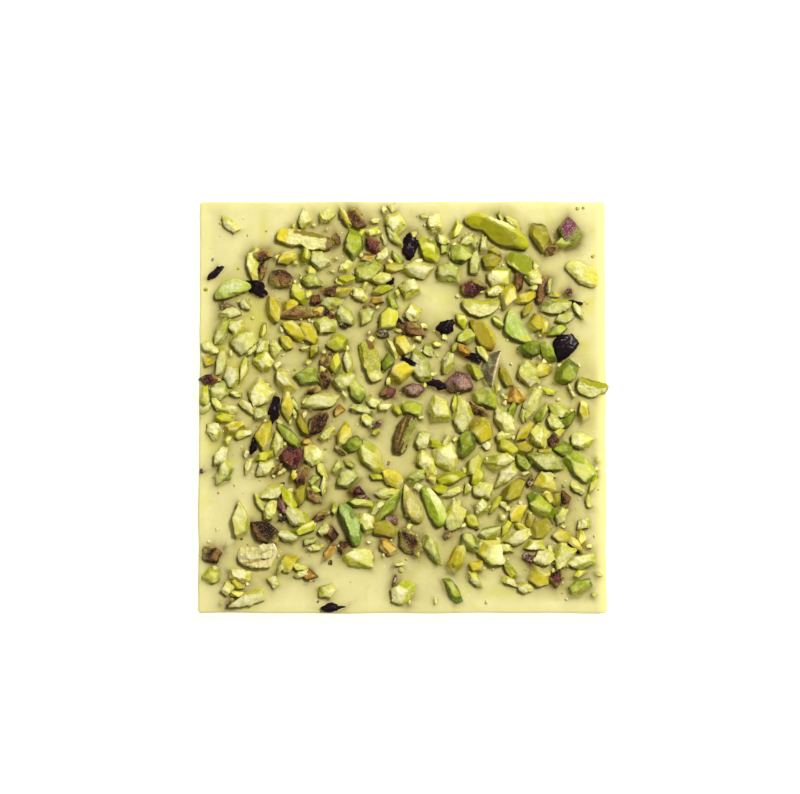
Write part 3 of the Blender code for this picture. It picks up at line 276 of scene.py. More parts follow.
# smaller pieces, which have no solid of their own
smallOnes = {
    "petal": (
        (-14.4, 19.9, 2.2, 1.0, 1.4, -10), (-29.4, -27.6, 2.0, 0.9, 1.2, 0),
    ),
    "brown": (
        (-8.2, 24.8, 2.4, 1.0, 1.2, 10), (-30.6, -15.2, 3.0, 1.3, 1.4, 50), (-6.2, -4.4, 2.6, 1.4, 1.2, 20),
        (-15.3, -10.8, 3.2, 1.0, 1.4, -40), (-42.2, -48.2, 2.6, 1.0, 1.2, 55),
        (10.9, -31.4, 2.2, 1.6, 1.4, 60), (-1.9, -42.9, 3.0, 0.9, 1.2, 80),
        (31.5, -18.4, 2.6, 1.6, 1.6, 50), (-43.2, 24.7, 3.4, 1.5, 1.6, -10),
        (-5.3, 18.2, 2.6, 2.0, 1.8, 10),
    ),
    "maroon": (
        (-49.0, -15.8, 1.6, 1.2, 1.0, 40), (-9.4, -22.5, 2.4, 1.3, 1.4, 0), (41.0, 28.0, 2.4, 1.8, 1.2, 60),
        (30.8, -37.3, 3.0, 1.8, 1.2, -42),
    ),
    "orange": (
        (-23.5, -8.7, 2.6, 1.6, 1.6, 10), (27.7, -43.7, 1.6, 1.0, 1.0, -30), (-6.2, 26.0, 2.9, 1.7, 1.6, 0),
        (-15.6, -1.0, 2.8, 1.8, 1.5, 35), (-8.4, 36.6, 3.0, 1.8, 1.6, 0),
    ),
    "yellow": (
        (37.6, 27.4, 2.4, 1.3, 1.4, -20), (-40.6, -46.0, 2.8, 1.4, 1.6, -10), (8.4, 15.3, 2.2, 1.7, 1.6, 0),
        (35.2, 19.2, 3.2, 1.5, 2.0, 75), (-40.6, -43.6, 3.2, 1.6, 1.8, -50),
        (7.2, -17.7, 2.6, 1.8, 1.8, -30), (28.8, -29.4, 2.8, 1.6, 1.6, -40),
        (-26.5, -16.8, 3.0, 1.9, 1.8, 80), (-14.1, 46.5, 5.2, 1.5, 2.3, -62),
    ),
    "green": (
        (12.7, 14.4, 3.2, 1.3, 1.8, 60), (24.3, 46.4, 3.2, 0.9, 1.6, -70), (-26.4, 0.5, 3.8, 1.2, 1.8, -65),
        (-21.4, -20.3, 2.8, 1.6, 1.8, -40), (-16.6, -25.0, 3.0, 1.6, 1.8, 80),
        (10.3, 38.8, 2.4, 1.8, 1.6, 80), (-1.2, 36.2, 3.6, 1.5, 1.8, -50), (40.3, 40.7, 4.6, 2.8, 2.5, 15),
    ),
    "cream": (
        (-36.2, 38.0, 2.2, 1.6, 1.6, 60), (-4.6, 41.0, 2.8, 0.8, 1.2, -60), (32.6, 34.4, 2.6, 1.2, 1.6, 85),
        (-30.6, 10.2, 2.2, 1.2, 1.4, 30), (-24.0, 14.3, 2.2, 1.2, 1.4, 0),
        (-26.8, -1.3, 2.4, 1.2, 1.6, -55), (-3.4, 6.2, 2.8, 1.2, 1.4, 80), (41.0, 4.6, 2.2, 0.9, 1.2, -70),
        (41.8, 3.0, 2.0, 0.8, 1.2, -60), (16.1, -20.0, 2.4, 1.7, 1.8, 80), (-0.9, -38.6, 2.4, 1.0, 1.2, 5),
        (45.7, -23.6, 2.8, 1.4, 1.6, -70), (10.6, -8.6, 3.4, 1.4, 2.0, 60), (-7.6, 43.0, 2.8, 2.0, 1.8, 20),
        (-4.5, -0.2, 3.0, 1.8, 1.8, 10), (26.2, -42.8, 3.0, 1.8, 1.8, -10),
    ),
    "lime": (
        (-10.2, 42.2, 3.0, 1.3, 1.8, 75), (-42.8, -8.2, 2.2, 1.4, 1.4, 60), (-6.6, -6.4, 2.2, 1.4, 1.4, 30),
        (-6.4, -17.3, 2.8, 1.5, 1.6, 0), (12.8, 0.4, 4.0, 1.2, 1.8, 80), (-1.3, -0.9, 2.8, 1.6, 1.6, -60),
        (36.1, 3.5, 3.2, 1.6, 1.2, -5), (43.2, -41.0, 3.0, 1.6, 1.6, 40), (38.3, -6.5, 3.0, 1.8, 1.8, 40),
    ),
    "sage": (
        (-40.7, 3.0, 3.0, 1.4, 1.6, -10), (-13.1, -14.0, 3.0, 1.4, 1.6, -30),
        (35.4, -16.8, 3.2, 1.3, 1.8, 5), (32.4, 29.2, 2.8, 1.6, 2.0, 30), (-48.3, -0.9, 3.2, 1.6, 1.6, 35),
        (-16.0, -15.0, 2.8, 1.8, 1.6, 60), (29.5, -1.9, 3.2, 1.4, 1.8, 75),
        (-22.7, -33.1, 3.0, 1.6, 1.6, 10), (36.0, 29.6, 4.6, 1.2, 1.8, 85),
        (-21.9, -18.2, 2.8, 1.9, 1.8, 60), (-29.6, -38.9, 4.2, 1.3, 1.6, 65),
    ),
    "olive": (
        (22.8, 38.1, 3.0, 1.7, 2.0, -40), (34.8, -11.0, 3.4, 1.5, 1.8, 10),
    ),
}

# pieces in another kind's colours: their own kind, the other kind, and their numbers in the list
recoloured = {
    "cream": {"lime": (7,), "sage": (5, 9, 13, 14, 21, 31, 62), "yellow": (33,)},
    "sage": {"green": (18, 29, 34), "cream": (10, 21, 22, 25, 31, 33), "crumb": (9,), "lime": (11,)},
    "lime": {"olive": (5, 18), "green": (13,)},
    "green": {
        "deep": (9, 14, 16, 17, 19, 21, 22, 36), "olive": (3, 4, 25, 28, 30, 38), "lime": (1,),
        "sage": (6, 8), "crumb": (5, 7, 11, 12, 24, 29, 32),
    },
    "yellow": {"olive": (11, 19, 28), "crumb": (17, 36), "lime": (4,)},
    "brown": {"orange": (27,)},
    "mauve": {"plum": (2,)},
    "petal": {"brown": (10,)},
}

# where the poured face shows bare: x, y, radius
barePatches = (
    (-43, 40, 10), (-34, 46, 6), (-37, 22, 3), (-28, 12, 4), (-20, 31, 2), (7, 27, 5), (8, 13, 3),
    (-4, -12, 5), (-12, -8, 3), (-43, -20, 7), (-45, -28, 5), (26, 11, 3.5), (38, 34, 6), (47, 22, 6),
    (46, 12, 5), (40, 4, 3), (48, -5, 4), (47, -26, 5), (-26, -46, 9), (-10, -44, 6), (5, -42, 4),
    (20, -46, 8), (36, -49, 5), (28, -39, 3), (-34, -42, 4), (20, -29, 2), (43, 27, 5), (-49, -44, 5),
    (14, 49, 6), (38, 49, 8), (47, 40, 6),
)

husk = {
    "tips": ((22.0, 4.8), (24.2, 13.6)),
    "width": 3.7,
    "rise": 1.7,
    "lift": 0.55,
    "thickness": 0.45,
    "tipWidth": 0.35,
    "sunk": 0.14,
    "edgeShare": (0.55, 0.08),
    "rimShare": 0.14,
    "spot": (22.0, 9.4, 9.0, 4.4, 1.9, 76),
    "steps": (61, 31),
    "membrane": (110, 100, 66),
    "rim": (255, 222, 172),
}

fragment = {
    "smallLength": 3.7,
    "smallSides": (4, 4, 5),
    "largeSides": (5, 5, 6),
    "sideLean": (-8, 32),
    "topTilt": (4, 34),
    "sideJitter": 0.30,
    "sideReach": (0.41, 0.48),
    "topReach": (0.36, 0.48),
    "mostRoll": 9,
    "block": 1.3,
}


def linear(colour):
    # screen value to light: the sRGB curve
    value = np.asarray(colour, float) / 255
    return np.where(value <= 0.04045, value / 12.92, ((value + 0.055) / 1.055) ** 2.4)


def smooth(value, low, high):
    # 0 below low, 1 above high, a cubic between
    share = np.clip((value - low) / (high - low), 0, 1)
    return share * share * (3 - 2 * share)


def ripple(points, seed, wavelength, waves=14):
    # mean of sine waves in random directions, each with a length near the one asked for
    rng = np.random.default_rng(seed)
    heading = rng.normal(size=(waves, 3))
    heading /= np.linalg.norm(heading, axis=1, keepdims=True)
    pitch = 2 * math.pi / wavelength * rng.uniform(0.6, 1.7, (waves, 1))
    phase = rng.uniform(0, 2 * math.pi, waves)
    return np.sin(points @ (heading * pitch).T + phase).sum(-1) / math.sqrt(waves)


def bareness(x, y):
    # 0 where the topping lies thick and 1 where the chocolate shows bare
    found = 0.0
    for patchX, patchY, radius in barePatches:
        share = 1.6 - math.hypot(x - patchX, y - patchY) / radius
        found = max(found, min(max(share / 0.6, 0.0), 1.0))
    return found


def clearOfKernels(x, y, width):
    # whether a round spot misses every kernel, taken as a row of discs along its middle
    for kernelX, kernelY, length, breadth, _, turn, *_ in (*kernelPlaces.values(), husk["spot"]):
        angle = math.radians(turn)
        along = (x - kernelX) * math.cos(angle) + (y - kernelY) * math.sin(angle)
        across = (y - kernelY) * math.cos(angle) - (x - kernelX) * math.sin(angle)
        beyond = max(abs(along) - (length - breadth) / 2, 0)
        if math.hypot(beyond, across) < (breadth + width) / 2 * setting["kernelReach"]:
            return False
    return True


def scattered():
    # small chunks thrown one by one, largest first, kept off each other and off the bare patches
    rng = np.random.default_rng(setting["seed"])
    lengths = setting["length"] * np.exp(rng.normal(0, setting["lengthSpread"], setting["count"]))
    lengths = np.sort(np.clip(lengths, *setting["lengthLimits"]))[::-1]
    laid = (*kernelPlaces.values(), *sum(placed.values(), ()), *sum(smallOnes.values(), ()))
    lying = [place[:4] for place in laid]
    thrown = []
    for length in lengths:
        width = length * rng.uniform(0.52, 0.92)
        height = min(width * rng.uniform(0.55, 0.85), setting["mostHeight"])
        turn = rng.uniform(-90, 90)
        reach = length / 2 + setting["edgeMargin"]
        for _ in range(setting["tries"]):
            x = rng.uniform(reach - slab["width"] / 2, slab["width"] / 2 - reach)
            y = rng.uniform(reach - slab["depth"] / 2, slab["depth"] / 2 - reach)
            if rng.random() < bareness(x, y):
                continue
            clear = all(
                math.hypot(x - other[0], y - other[1])
                > setting["spacing"] * (length + width + other[2] + other[3]) / 2
                for other in lying
            )
            if clear and clearOfKernels(x, y, width):
                lying.append((x, y, length, width))
                thrown.append((x, y, length, width, height, turn))
                break
    return thrown


def fragmentPlanes(rng, length):
    # normals and distances of the planes that cut one fragment out of a block of unit size
    sides = int(rng.choice(fragment["smallSides" if length < fragment["smallLength"] else "largeSides"]))
    jitter = rng.uniform(-fragment["sideJitter"], fragment["sideJitter"], sides)
    around = 2 * math.pi * (np.arange(sides) + jitter) / sides
    lean = np.radians(rng.uniform(*fragment["sideLean"], sides))
    topAround = rng.uniform(0, 2 * math.pi) + math.pi * np.arange(2)
    topTilt = np.radians(rng.uniform(*fragment["topTilt"], 2))
    azimuth = np.concatenate([around, topAround])
    rise = np.concatenate([lean, math.pi / 2 - topTilt])
    flat = np.cos(rise)
    normals = np.stack([np.cos(azimuth) * flat, np.sin(azimuth) * flat, np.sin(rise)], axis=1)
    reach = [rng.uniform(*fragment["sideReach"], sides), rng.uniform(*fragment["topReach"], 2)]
    return normals, np.concatenate(reach)


def turned(angle, axis):
    # a rotation by angle in radians about one axis, as a matrix that multiplies from the left
    c, s = math.cos(angle), math.sin(angle)
    rows = {
        "X": ((1, 0, 0), (0, c, -s), (0, s, c)),
        "Y": ((c, 0, s), (0, 1, 0), (-s, 0, c)),
        "Z": ((c, -s, 0), (s, c, 0), (0, 0, 1)),
    }
    return np.array(rows[axis])


def fragmentOf(kind, group, number, place):
    # everything that sets one fragment's shape: its planes, its block's walls, stretch and lie
    x, y, length, width, height, turn = place
    sink = setting["flakeSink" if kind == "petal" else "chunkSink"]
    rng = np.random.default_rng([setting["seed"], group, number])
    normals, reach = fragmentPlanes(rng, length)
    roll = math.radians(rng.uniform(-fragment["mostRoll"], fragment["mostRoll"]))
    pitch = math.radians(rng.uniform(-fragment["mostRoll"], fragment["mostRoll"]))
    full = height / (1 - sink)
    lie = turned(math.radians(turn), "Z") @ turned(roll, "X") @ turned(pitch, "Y")
    walls = np.vstack([np.eye(3), -np.eye(3)])
    count = len(reach)
    changed = recoloured.get(kind, {}) if group < len(placed) else {}
    look = next((other for other, members in changed.items() if number in members), kind)
    return {
        "kind": kind,
        "look": look,
        "seed": [setting["seed"], group, number, 7],
        "planes": np.vstack([normals, walls]),
        "reach": np.concatenate([reach, np.full(6, fragment["block"] / 2)]),
        "tops": (count - 2, count - 1),
        "stretch": np.array([length, width, full]),
        "lie": lie,
        "middle": np.array([x, y, slab["height"] + full * (0.5 - sink)]),
        "size": (length, width, height),
    }


def newPiece(name, points, faces, finish, colours=None, marks=None, creases=None):
    # a mesh object from points in millimetres, with colours and named marks kept per point
    mesh = bpy.data.meshes.new(name)
    rows = faces if isinstance(faces, list) else faces.tolist()
    mesh.from_pydata((np.asarray(points) * mm).tolist(), [], rows)
    if colours is not None:
        layer = mesh.color_attributes.new("tint", "FLOAT_COLOR", "POINT")
        opaque = np.column_stack([colours, np.ones(len(points))])
        layer.data.foreach_set("color", opaque.astype(np.float32).ravel())
    for mark, values in (marks or {}).items():
        layer = mesh.attributes.new(mark, "FLOAT", "POINT")
        layer.data.foreach_set("value", np.asarray(values, np.float32).ravel())
    mesh.materials.append(finish)
    mesh.update()
    mesh.shade_smooth()
    if creases:
        mesh.set_sharp_from_angle(angle=math.radians(creases))
    made = bpy.data.objects.new(name, mesh)
    bpy.context.scene.collection.objects.link(made)
    return made


def gridFaces(rows, columns, closed=False):
    # quads between neighbouring points of a grid, with the last column joined to the first if closed
    i, j = np.meshgrid(np.arange(rows - 1), np.arange(columns if closed else columns - 1), indexing="ij")
    i, j = i.ravel(), j.ravel()
    after = (j + 1) % columns
    low, high = i * columns, (i + 1) * columns
    return np.stack([low + j, high + j, high + after, low + after], axis=1)


def gridBorder(rows, columns):
    # the points round a grid's outer edge, in order
    return np.concatenate([
        np.arange(rows) * columns,
        (rows - 1) * columns + np.arange(1, columns),
        np.arange(rows - 2, -1, -1) * columns + columns - 1,
        np.arange(columns - 2, 0, -1),
    ])


def cubeSphere(steps):
    # directions spread evenly over a sphere: the six sides of a cube, ruled in equal angles
    ticks = np.tan(math.pi / 4 * np.linspace(-1, 1, steps + 1))
    a, b = np.meshgrid(ticks, ticks, indexing="ij")
    one = np.ones_like(a)
    sides = ((one, a, b), (-one, b, a), (b, one, a), (a, -one, b), (a, b, one), (b, a, -one))
    points = np.concatenate([np.stack(side, -1).reshape(-1, 3) for side in sides])
    points /= np.linalg.norm(points, axis=1, keepdims=True)
    corner = (steps + 1) ** 2
    quads = gridFaces(steps + 1, steps + 1)
    faces = np.concatenate([quads + side * corner for side in range(6)])
    _, first, index = np.unique(np.round(points, 6), axis=0, return_index=True, return_inverse=True)
    return points[first], index.reshape(-1)[faces]


chunkLooks = {
    "steps": 11,
    "sharpness": 32,
    "roundSharpness": 9,
    "growth": 1.045,
    "tintSharpness": 20,
    "lumps": ((2.4, 0.12), (1.1, 0.075), (0.5, 0.04)),
    "dents": 5,
    "dentDepth": (-0.16, 0.26),
    "dentWidth": (0.28, 0.55),
    "bevels": 3,
    "bevelRise": (0.45, 1.25),
    "bevelReach": (0.42, 0.54),
    "shadeRange": (0.84, 1.08),
    # rimShare and rimLightening: ridges between planes lightened, partly a painted highlight and partly
    # pale broken flesh
    "rimShare": (0.45, 0.75),
    "rimLightening": 0.20,
    "tipRise": (-0.5, 0.3),
    "tipFade": (0.25, 0.85),
    "tipTint": 0.6,
    "fullLumpsAt": 2.6,
}

# each kind: how rough it is, the colours its upper faces take, and those its sides take
palettes = {
    "cream": (1.15, ((240, 233, 158), (228, 223, 122), (222, 218, 102), (246, 238, 172)),
              ((212, 208, 60), (188, 188, 36), (230, 221, 108), (212, 203, 70))),
    "crumb": (0.8, ((238, 232, 148), (228, 222, 114), (212, 208, 80), (246, 238, 176)),
              ((198, 196, 54), (168, 170, 28), (218, 208, 84), (196, 180, 36))),
    "sage": (1.1, ((218, 216, 126), (204, 204, 98), (190, 190, 76), (234, 228, 154)),
             ((176, 180, 42), (156, 160, 30), (202, 200, 84), (136, 144, 22))),
    "lime": (0.5, ((206, 204, 28), (216, 210, 62), (182, 182, 10), (232, 226, 116)),
             ((164, 164, 2), (138, 142, 2), (208, 204, 54), (186, 182, 10))),
    "green": (0.7, ((172, 180, 32), (192, 196, 62), (214, 212, 104), (134, 148, 12)),
              ((106, 128, 4), (134, 148, 8), (190, 192, 56), (80, 100, 0))),
    "deep": (0.6, ((136, 147, 12), (120, 134, 8), (162, 171, 46)),
             ((100, 115, 4), (124, 135, 12), (80, 95, 2))),
    "olive": (0.5, ((160, 148, 14), (178, 164, 34)), ((124, 112, 4), (106, 92, 4), (184, 172, 44))),
    "yellow": (0.6, ((224, 206, 48), (208, 190, 28), (238, 226, 116), (192, 178, 22)),
               ((236, 226, 136), (182, 168, 12), (160, 144, 12), (216, 202, 62))),
    "orange": (0.7, ((208, 164, 40), (186, 138, 28), (226, 194, 88)),
               ((226, 200, 108), (154, 106, 22), (122, 80, 22))),
    "brown": (1.2, ((86, 52, 30), (126, 80, 44), (48, 29, 18), (160, 116, 62)),
              ((186, 170, 70), (82, 52, 28), (48, 31, 20), (210, 196, 96))),
    "maroon": (1.2, ((92, 30, 40), (56, 18, 28), (124, 58, 58)),
               ((44, 16, 22), (118, 66, 46), (180, 160, 72))),
    "mauve": (1.3, ((166, 118, 104), (138, 88, 92), (186, 146, 122)),
              ((96, 60, 50), (140, 104, 72), (120, 96, 50))),
    "plum": (0.8, ((126, 50, 84), (150, 84, 108), (166, 140, 86), (132, 60, 88)),
             ((128, 142, 24), (164, 170, 52), (200, 186, 120), (120, 134, 16))),
    "petal": (1.9, ((18, 8, 11), (30, 12, 18)), ((10, 5, 6), (44, 18, 24))),
}


def chunkMesh(pieces, seed, looks):
    # Each direction of a sphere is carried out to the piece's planes. Where planes compete, a high
    # power mean rounds the edge between them. A few more planes bevel the edges, round dents and
    # bulges break the outline, and sums of sines roughen the broken faces. The planes' colours blend
    # by the same powers, with one end of each piece worn to a colour of its own, and the ridges where
    # planes meet lightened, partly a painted highlight and partly pale broken flesh.
    directions, quads = cubeSphere(looks["steps"])
    bevels, dents = looks["bevels"], looks["dents"]
    most = max(len(piece["reach"]) for piece in pieces) + bevels
    planes = np.zeros((len(pieces), most, 3))
    reach = np.ones((len(pieces), most))
    shades = np.zeros((len(pieces), most, 3))
    centres = np.zeros((len(pieces), dents, 3))
    depth = np.zeros((len(pieces), dents))
    tip = np.zeros((len(pieces), 3))
    tipColour = np.zeros((len(pieces), 3))
    spread = np.ones((len(pieces), dents))
    rough = np.ones(len(pieces))
    for row, piece in enumerate(pieces):
        count = len(piece["reach"])
        rng = np.random.default_rng(piece["seed"])
        rough[row], upper, side = palettes[piece["look"]]
        heading = rng.uniform(0, 2 * math.pi, bevels)
        rise = rng.uniform(*looks["bevelRise"], bevels)
        extra = np.stack([np.cos(heading) * np.cos(rise), np.sin(heading) * np.cos(rise), np.sin(rise)], 1)
        planes[row, :count] = piece["planes"]
        planes[row, count:count + bevels] = extra
        reach[row, :count] = piece["reach"]
        reach[row, count:count + bevels] = rng.uniform(*looks["bevelReach"], bevels)
        picked = linear([side[k] for k in rng.integers(0, len(side), count + bevels)])
        tops = [*piece["tops"], *range(count, count + bevels)]
        picked[tops] = linear([upper[k] for k in rng.integers(0, len(upper), len(tops))])
        shades[row, :count + bevels] = picked * rng.uniform(*looks["shadeRange"])
        aim = rng.normal(size=(dents, 3))
        aim[:, 2] = np.abs(aim[:, 2]) * 0.8
        centres[row] = aim / np.linalg.norm(aim, axis=1, keepdims=True)
        depth[row] = rng.uniform(*looks["dentDepth"], dents)
        spread[row] = rng.uniform(*looks["dentWidth"], dents)
        bearing = rng.uniform(0, 2 * math.pi)
        tip[row] = (math.cos(bearing), math.sin(bearing), rng.uniform(*looks["tipRise"]))
        tipColour[row] = linear(side[rng.integers(0, len(side))])
    pull = np.maximum(np.einsum("nkc,vc->nvk", planes, directions), 0) / reach[:, None, :]
    blunt = [piece["kind"] == "mauve" for piece in pieces]
    sharp = np.where(blunt, looks["roundSharpness"], looks["sharpness"])
    radius = looks["growth"] * (pull ** sharp[:, None, None]).sum(-1) ** (-1 / sharp[:, None])
    near = np.einsum("ndc,vc->nvd", centres, directions)
    dented = (depth[:, None] * np.exp((near - 1) / spread[:, None] ** 2)).sum(-1)
    radius *= 1 - dented * np.minimum(rough, 1.0)[:, None]
    share = pull ** looks["tintSharpness"]
    share /= share.sum(-1, keepdims=True)
    colours = np.einsum("nvk,nkc->nvc", share, shades)
    toTip = np.einsum("nc,vc->nv", tip, directions)
    worn = looks["tipTint"] * smooth(toTip, *looks["tipFade"])[..., None]
    colours = colours * (1 - worn) + tipColour[:, None, :] * worn
    # ridges where planes meet lightened: partly painted highlight, partly pale crumbs of broken flesh
    rim = 1 - smooth(share.max(-1), *looks["rimShare"])
    colours += (1 - colours) * (looks["rimLightening"] * rim)[..., None] * colours.max(-1, keepdims=True)
    stretch = np.array([piece["stretch"] for piece in pieces])
    local = directions * radius[..., None] * stretch[:, None, :]
    outward = directions * stretch[:, None, :]
    outward /= np.linalg.norm(outward, axis=-1, keepdims=True)
    offset = np.arange(len(pieces))[:, None, None] * 17.3
    size = np.minimum(stretch[:, :2].min(1) / looks["fullLumpsAt"], 1.0)
    lumps = sum(
        ripple(local + offset, seed + step, length) * height
        for step, (length, height) in enumerate(looks["lumps"])
    )
    local += outward * (lumps * (rough * size)[:, None])[..., None]
    lie = np.array([piece["lie"] for piece in pieces])
    middle = np.array([piece["middle"] for piece in pieces])
    points = np.einsum("nij,nvj->nvi", lie, local) + middle[:, None, :]
    faces = quads[None] + (np.arange(len(pieces)) * len(directions))[:, None, None]
    mealy = np.repeat(np.clip(rough - 0.15, 0, 1), len(directions))
    return points.reshape(-1, 3), faces.reshape(-1, 4), np.clip(colours, 0, 1).reshape(-1, 3), mealy


def kernelDistance(x, y, place):
    # distance in plan from a kernel's outline, negative inside
    middleX, middleY, length, width, _, turn, bow, taper, point = (*place, 0.0, 0.0, 0.5)[:9]
    angle = math.radians(turn)
    along = (x - middleX) * math.cos(angle) + (y - middleY) * math.sin(angle)
    across = (y - middleY) * math.cos(angle) - (x - middleX) * math.sin(angle)
    share = np.clip(along / length + 0.5, 0.02, 0.98)
    half = width / 2 * np.sin(math.pi * share) ** point * (1 + taper * (2 * share - 1))
    spine = bow * (1 - 2 * (2 * share - 1) ** 2)
    beyond = np.maximum(np.abs(along) - length * 0.48, 0)
    return np.hypot(beyond, np.maximum(np.abs(across - spine) - half, 0)) + np.minimum(
        np.maximum(np.abs(across - spine) - half, np.abs(along) - length / 2), 0
    )


def fragmentDistance(x, y, piece):
    # distance in plan from a fragment's walls where they meet the chocolate, negative inside
    normals = (piece["planes"] / piece["stretch"]) @ piece["lie"].T
    length = np.linalg.norm(normals, axis=1)
    spot = np.stack([x, y, np.full_like(x, slab["height"])], -1) - piece["middle"]
    return ((spot @ normals.T - piece["reach"]) / length).max(-1)


def slabProfile():
    # from the top's flat to the foot: distance out from the core rectangle, and height
    radius, top, foot = slab["cornerRadius"], slab["topEdgeRadius"], slab["footEdgeRadius"]
    bend = np.linspace(0, math.pi / 2, 6)
    level = np.linspace(slab["height"] - top, foot, 10)[1:-1]
    lean = slab["wallDraft"] * (slab["height"] - top - level) / (slab["height"] - top - foot)
    out = np.concatenate([
        np.linspace(0, radius - top, 3)[1:-1],
        radius - top + top * np.sin(bend),
        radius - lean,
        radius - slab["wallDraft"] - foot + foot * np.cos(bend),
    ])
    height = np.concatenate([
        [slab["height"]],
        slab["height"] - top + top * np.cos(bend),
        level,
        foot - foot * np.sin(bend),
    ])
    return out, height


def slabMesh(pieces):
    # A sheet ruled in squares. Its middle is the top. The strips beyond the middle fold over the
    # rounded edge, down the wall and round the foot, and the square corners close up to quarter rings.
    # Every point then measures its distance from the pieces: the chocolate climbs as
    # exp(-distance / meniscusReach), and the marks for the finish fade in the same way.
    out, height = slabProfile()
    rings = len(out)
    core = (slab["width"] / 2 - slab["cornerRadius"], slab["depth"] / 2 - slab["cornerRadius"])
    lines = []
    for half in core:
        inner = np.linspace(-half, half, int(2 * half / slab["gridStep"]) + 1)
        number = np.arange(1, rings + 1)
        lines.append((np.concatenate([np.full(rings, -half), inner, np.full(rings, half)]),
                      np.concatenate([-number[::-1], np.zeros(len(inner)), number])))
    (baseX, stepX), (baseY, stepY) = lines
    x, y = np.meshgrid(baseX, baseY, indexing="ij")
    overX, overY = np.meshgrid(stepX, stepY, indexing="ij")
    ring = np.maximum(np.abs(overX), np.abs(overY)).astype(int)
    angle = np.arctan2(np.abs(overY), np.maximum(np.abs(overX), 1e-9))
    steep = np.abs(overY) > np.abs(overX)
    ratio = np.where(steep, np.abs(overX) / np.maximum(np.abs(overY), 1e-9),
                     np.abs(overY) / np.maximum(np.abs(overX), 1e-9))
    angle = np.where(steep, math.pi / 2 - math.pi / 4 * ratio, math.pi / 4 * ratio)
    reach = np.concatenate([[0.0], out])[ring]
    level = np.concatenate([[slab["height"]], height])[ring]
    x = x + reach * np.cos(angle) * np.sign(overX)
    y = y + reach * np.sin(angle) * np.sign(overY)
    flatX, flatY = x.ravel(), y.ravel()
    far = np.full(flatX.shape, slab["farAway"])
    nearest, second, behind, skinned = far.copy(), far.copy(), far.copy(), far.copy()
    leeX, leeY = slab["leeShift"]
    crowd = np.zeros(flatX.shape)
    lying = [(piece["middle"][:2], piece["size"][:2], piece, fragmentDistance) for piece in pieces]
    kernels = [*kernelPlaces.values(), husk["spot"]]
    lying += [(place[:2], place[2:4], place, kernelDistance) for place in kernels]
    for (middleX, middleY), size, piece, distanceTo in lying:
        away = np.hypot(flatX - middleX, flatY - middleY)
        crowd += size[0] * size[1] * np.exp(-((away / slab["crowdReach"]) ** 2))
        near = np.flatnonzero(away < max(size) / 2 + slab["seenFrom"])
        distance = distanceTo(flatX[near], flatY[near], piece)
        # distance from the point moved toward the light: where it lands in or near a piece, that piece
        # casts painted shadow here
        toLight = distanceTo(flatX[near] + leeX, flatY[near] + leeY, piece)
        if isinstance(piece, dict) and piece["kind"] in ("brown", "maroon", "mauve"):
            skinned[near] = np.minimum(skinned[near], distance)
        behind[near] = np.minimum(behind[near], toLight)
        # distance to the second nearest piece, for painted shade between two pieces
        second[near] = np.minimum(second[near], np.maximum(nearest[near], distance))
        nearest[near] = np.minimum(nearest[near], distance)
    plan = np.stack([flatX, flatY, np.zeros_like(flatX)], -1)
    waves = ripple(plan, 3, 16) * slab["waveHeight"] + ripple(plan, 4, 5) * slab["waveHeight"] * 0.3
    nearest = nearest + slab["tuck"]
    behind = behind + slab["tuck"]
    climb = slab["meniscusHeight"] * np.exp(-np.maximum(nearest, 0) / slab["meniscusReach"])
    topShare = smooth(level.ravel(), slab["height"] - 0.8, slab["height"] - 0.05)
    sideways = slab["width"] / 2 - np.abs(flatX)
    endways = slab["depth"] / 2 - np.abs(flatY)
    edge = np.minimum(sideways, endways)
    lift, inset, breadth = slab["rimLift"]
    rimLift = lift * np.exp(-(((edge - inset) / breadth) ** 2))
    z = level.ravel() + topShare * (waves + climb + rimLift - slab["settled"])
    wander = ripple(plan, 5, 22) * slab["edgeWander"] * np.minimum(ring.ravel() / 6, 1)
    points = np.stack([flatX + wander * np.sign(flatX) * (np.abs(overX.ravel()) > 0),
                       flatY + wander * np.sign(flatY) * (np.abs(overY.ravel()) > 0), z], -1)
    # every mark fades as exp(-distance / reach), and down the wall from the poured edge
    # the marks near the pieces are painted shade and painted cast shadow on the chocolate; the widest ring
    # is partly an oil stain as well
    distances = {"oilAndShadeHalo": nearest, "contactShade": nearest, "skinShade": skinned, "between": second,
                 "leeShadow": behind, "softLeeShadow": behind}
    marks = {
        name: np.exp(-np.maximum(distance, 0) / slab["markReach"][name])
        for name, distance in distances.items()
    }
    # the painted cast shadow is kept outside the piece's own foot
    marks["leeShadow"] *= smooth(nearest, -0.2, 0.2)
    marks["stain"] = sum(
        np.exp(-(((flatX - spotX) / wide) ** 2) - ((flatY - spotY) / tall) ** 2)
        for spotX, spotY, wide, tall in slab["stains"]
    )
    # painted glow along the edges: full on the right, the lit side, weaker on the left and faint at the
    # ends
    sideGlow = (1 - smooth(sideways, *slab["sideGlow"])) * np.where(flatX > 0, 1, slab["leftWeight"])
    endGlow = (1 - smooth(endways, *slab["endGlow"])) * slab["endWeight"]
    marks["margin"] = np.maximum(sideGlow, endGlow)
    lowest, highest = slab["height"] - np.array(slab["markFade"])
    upper = smooth(level.ravel(), lowest, highest)
    marks = {name: mark * upper for name, mark in marks.items()}
    # crowd: how thickly pieces lie nearby, which darkens the chocolate to khaki, partly as painted shade
    crowd /= math.pi * slab["crowdReach"] ** 2
    marks["crowd"] = np.clip(crowd / slab["crowdFull"], 0, 1)
    rows, columns = x.shape
    border = gridBorder(rows, columns)
    return points, gridFaces(rows, columns).tolist() + [border[::-1].tolist()], marks


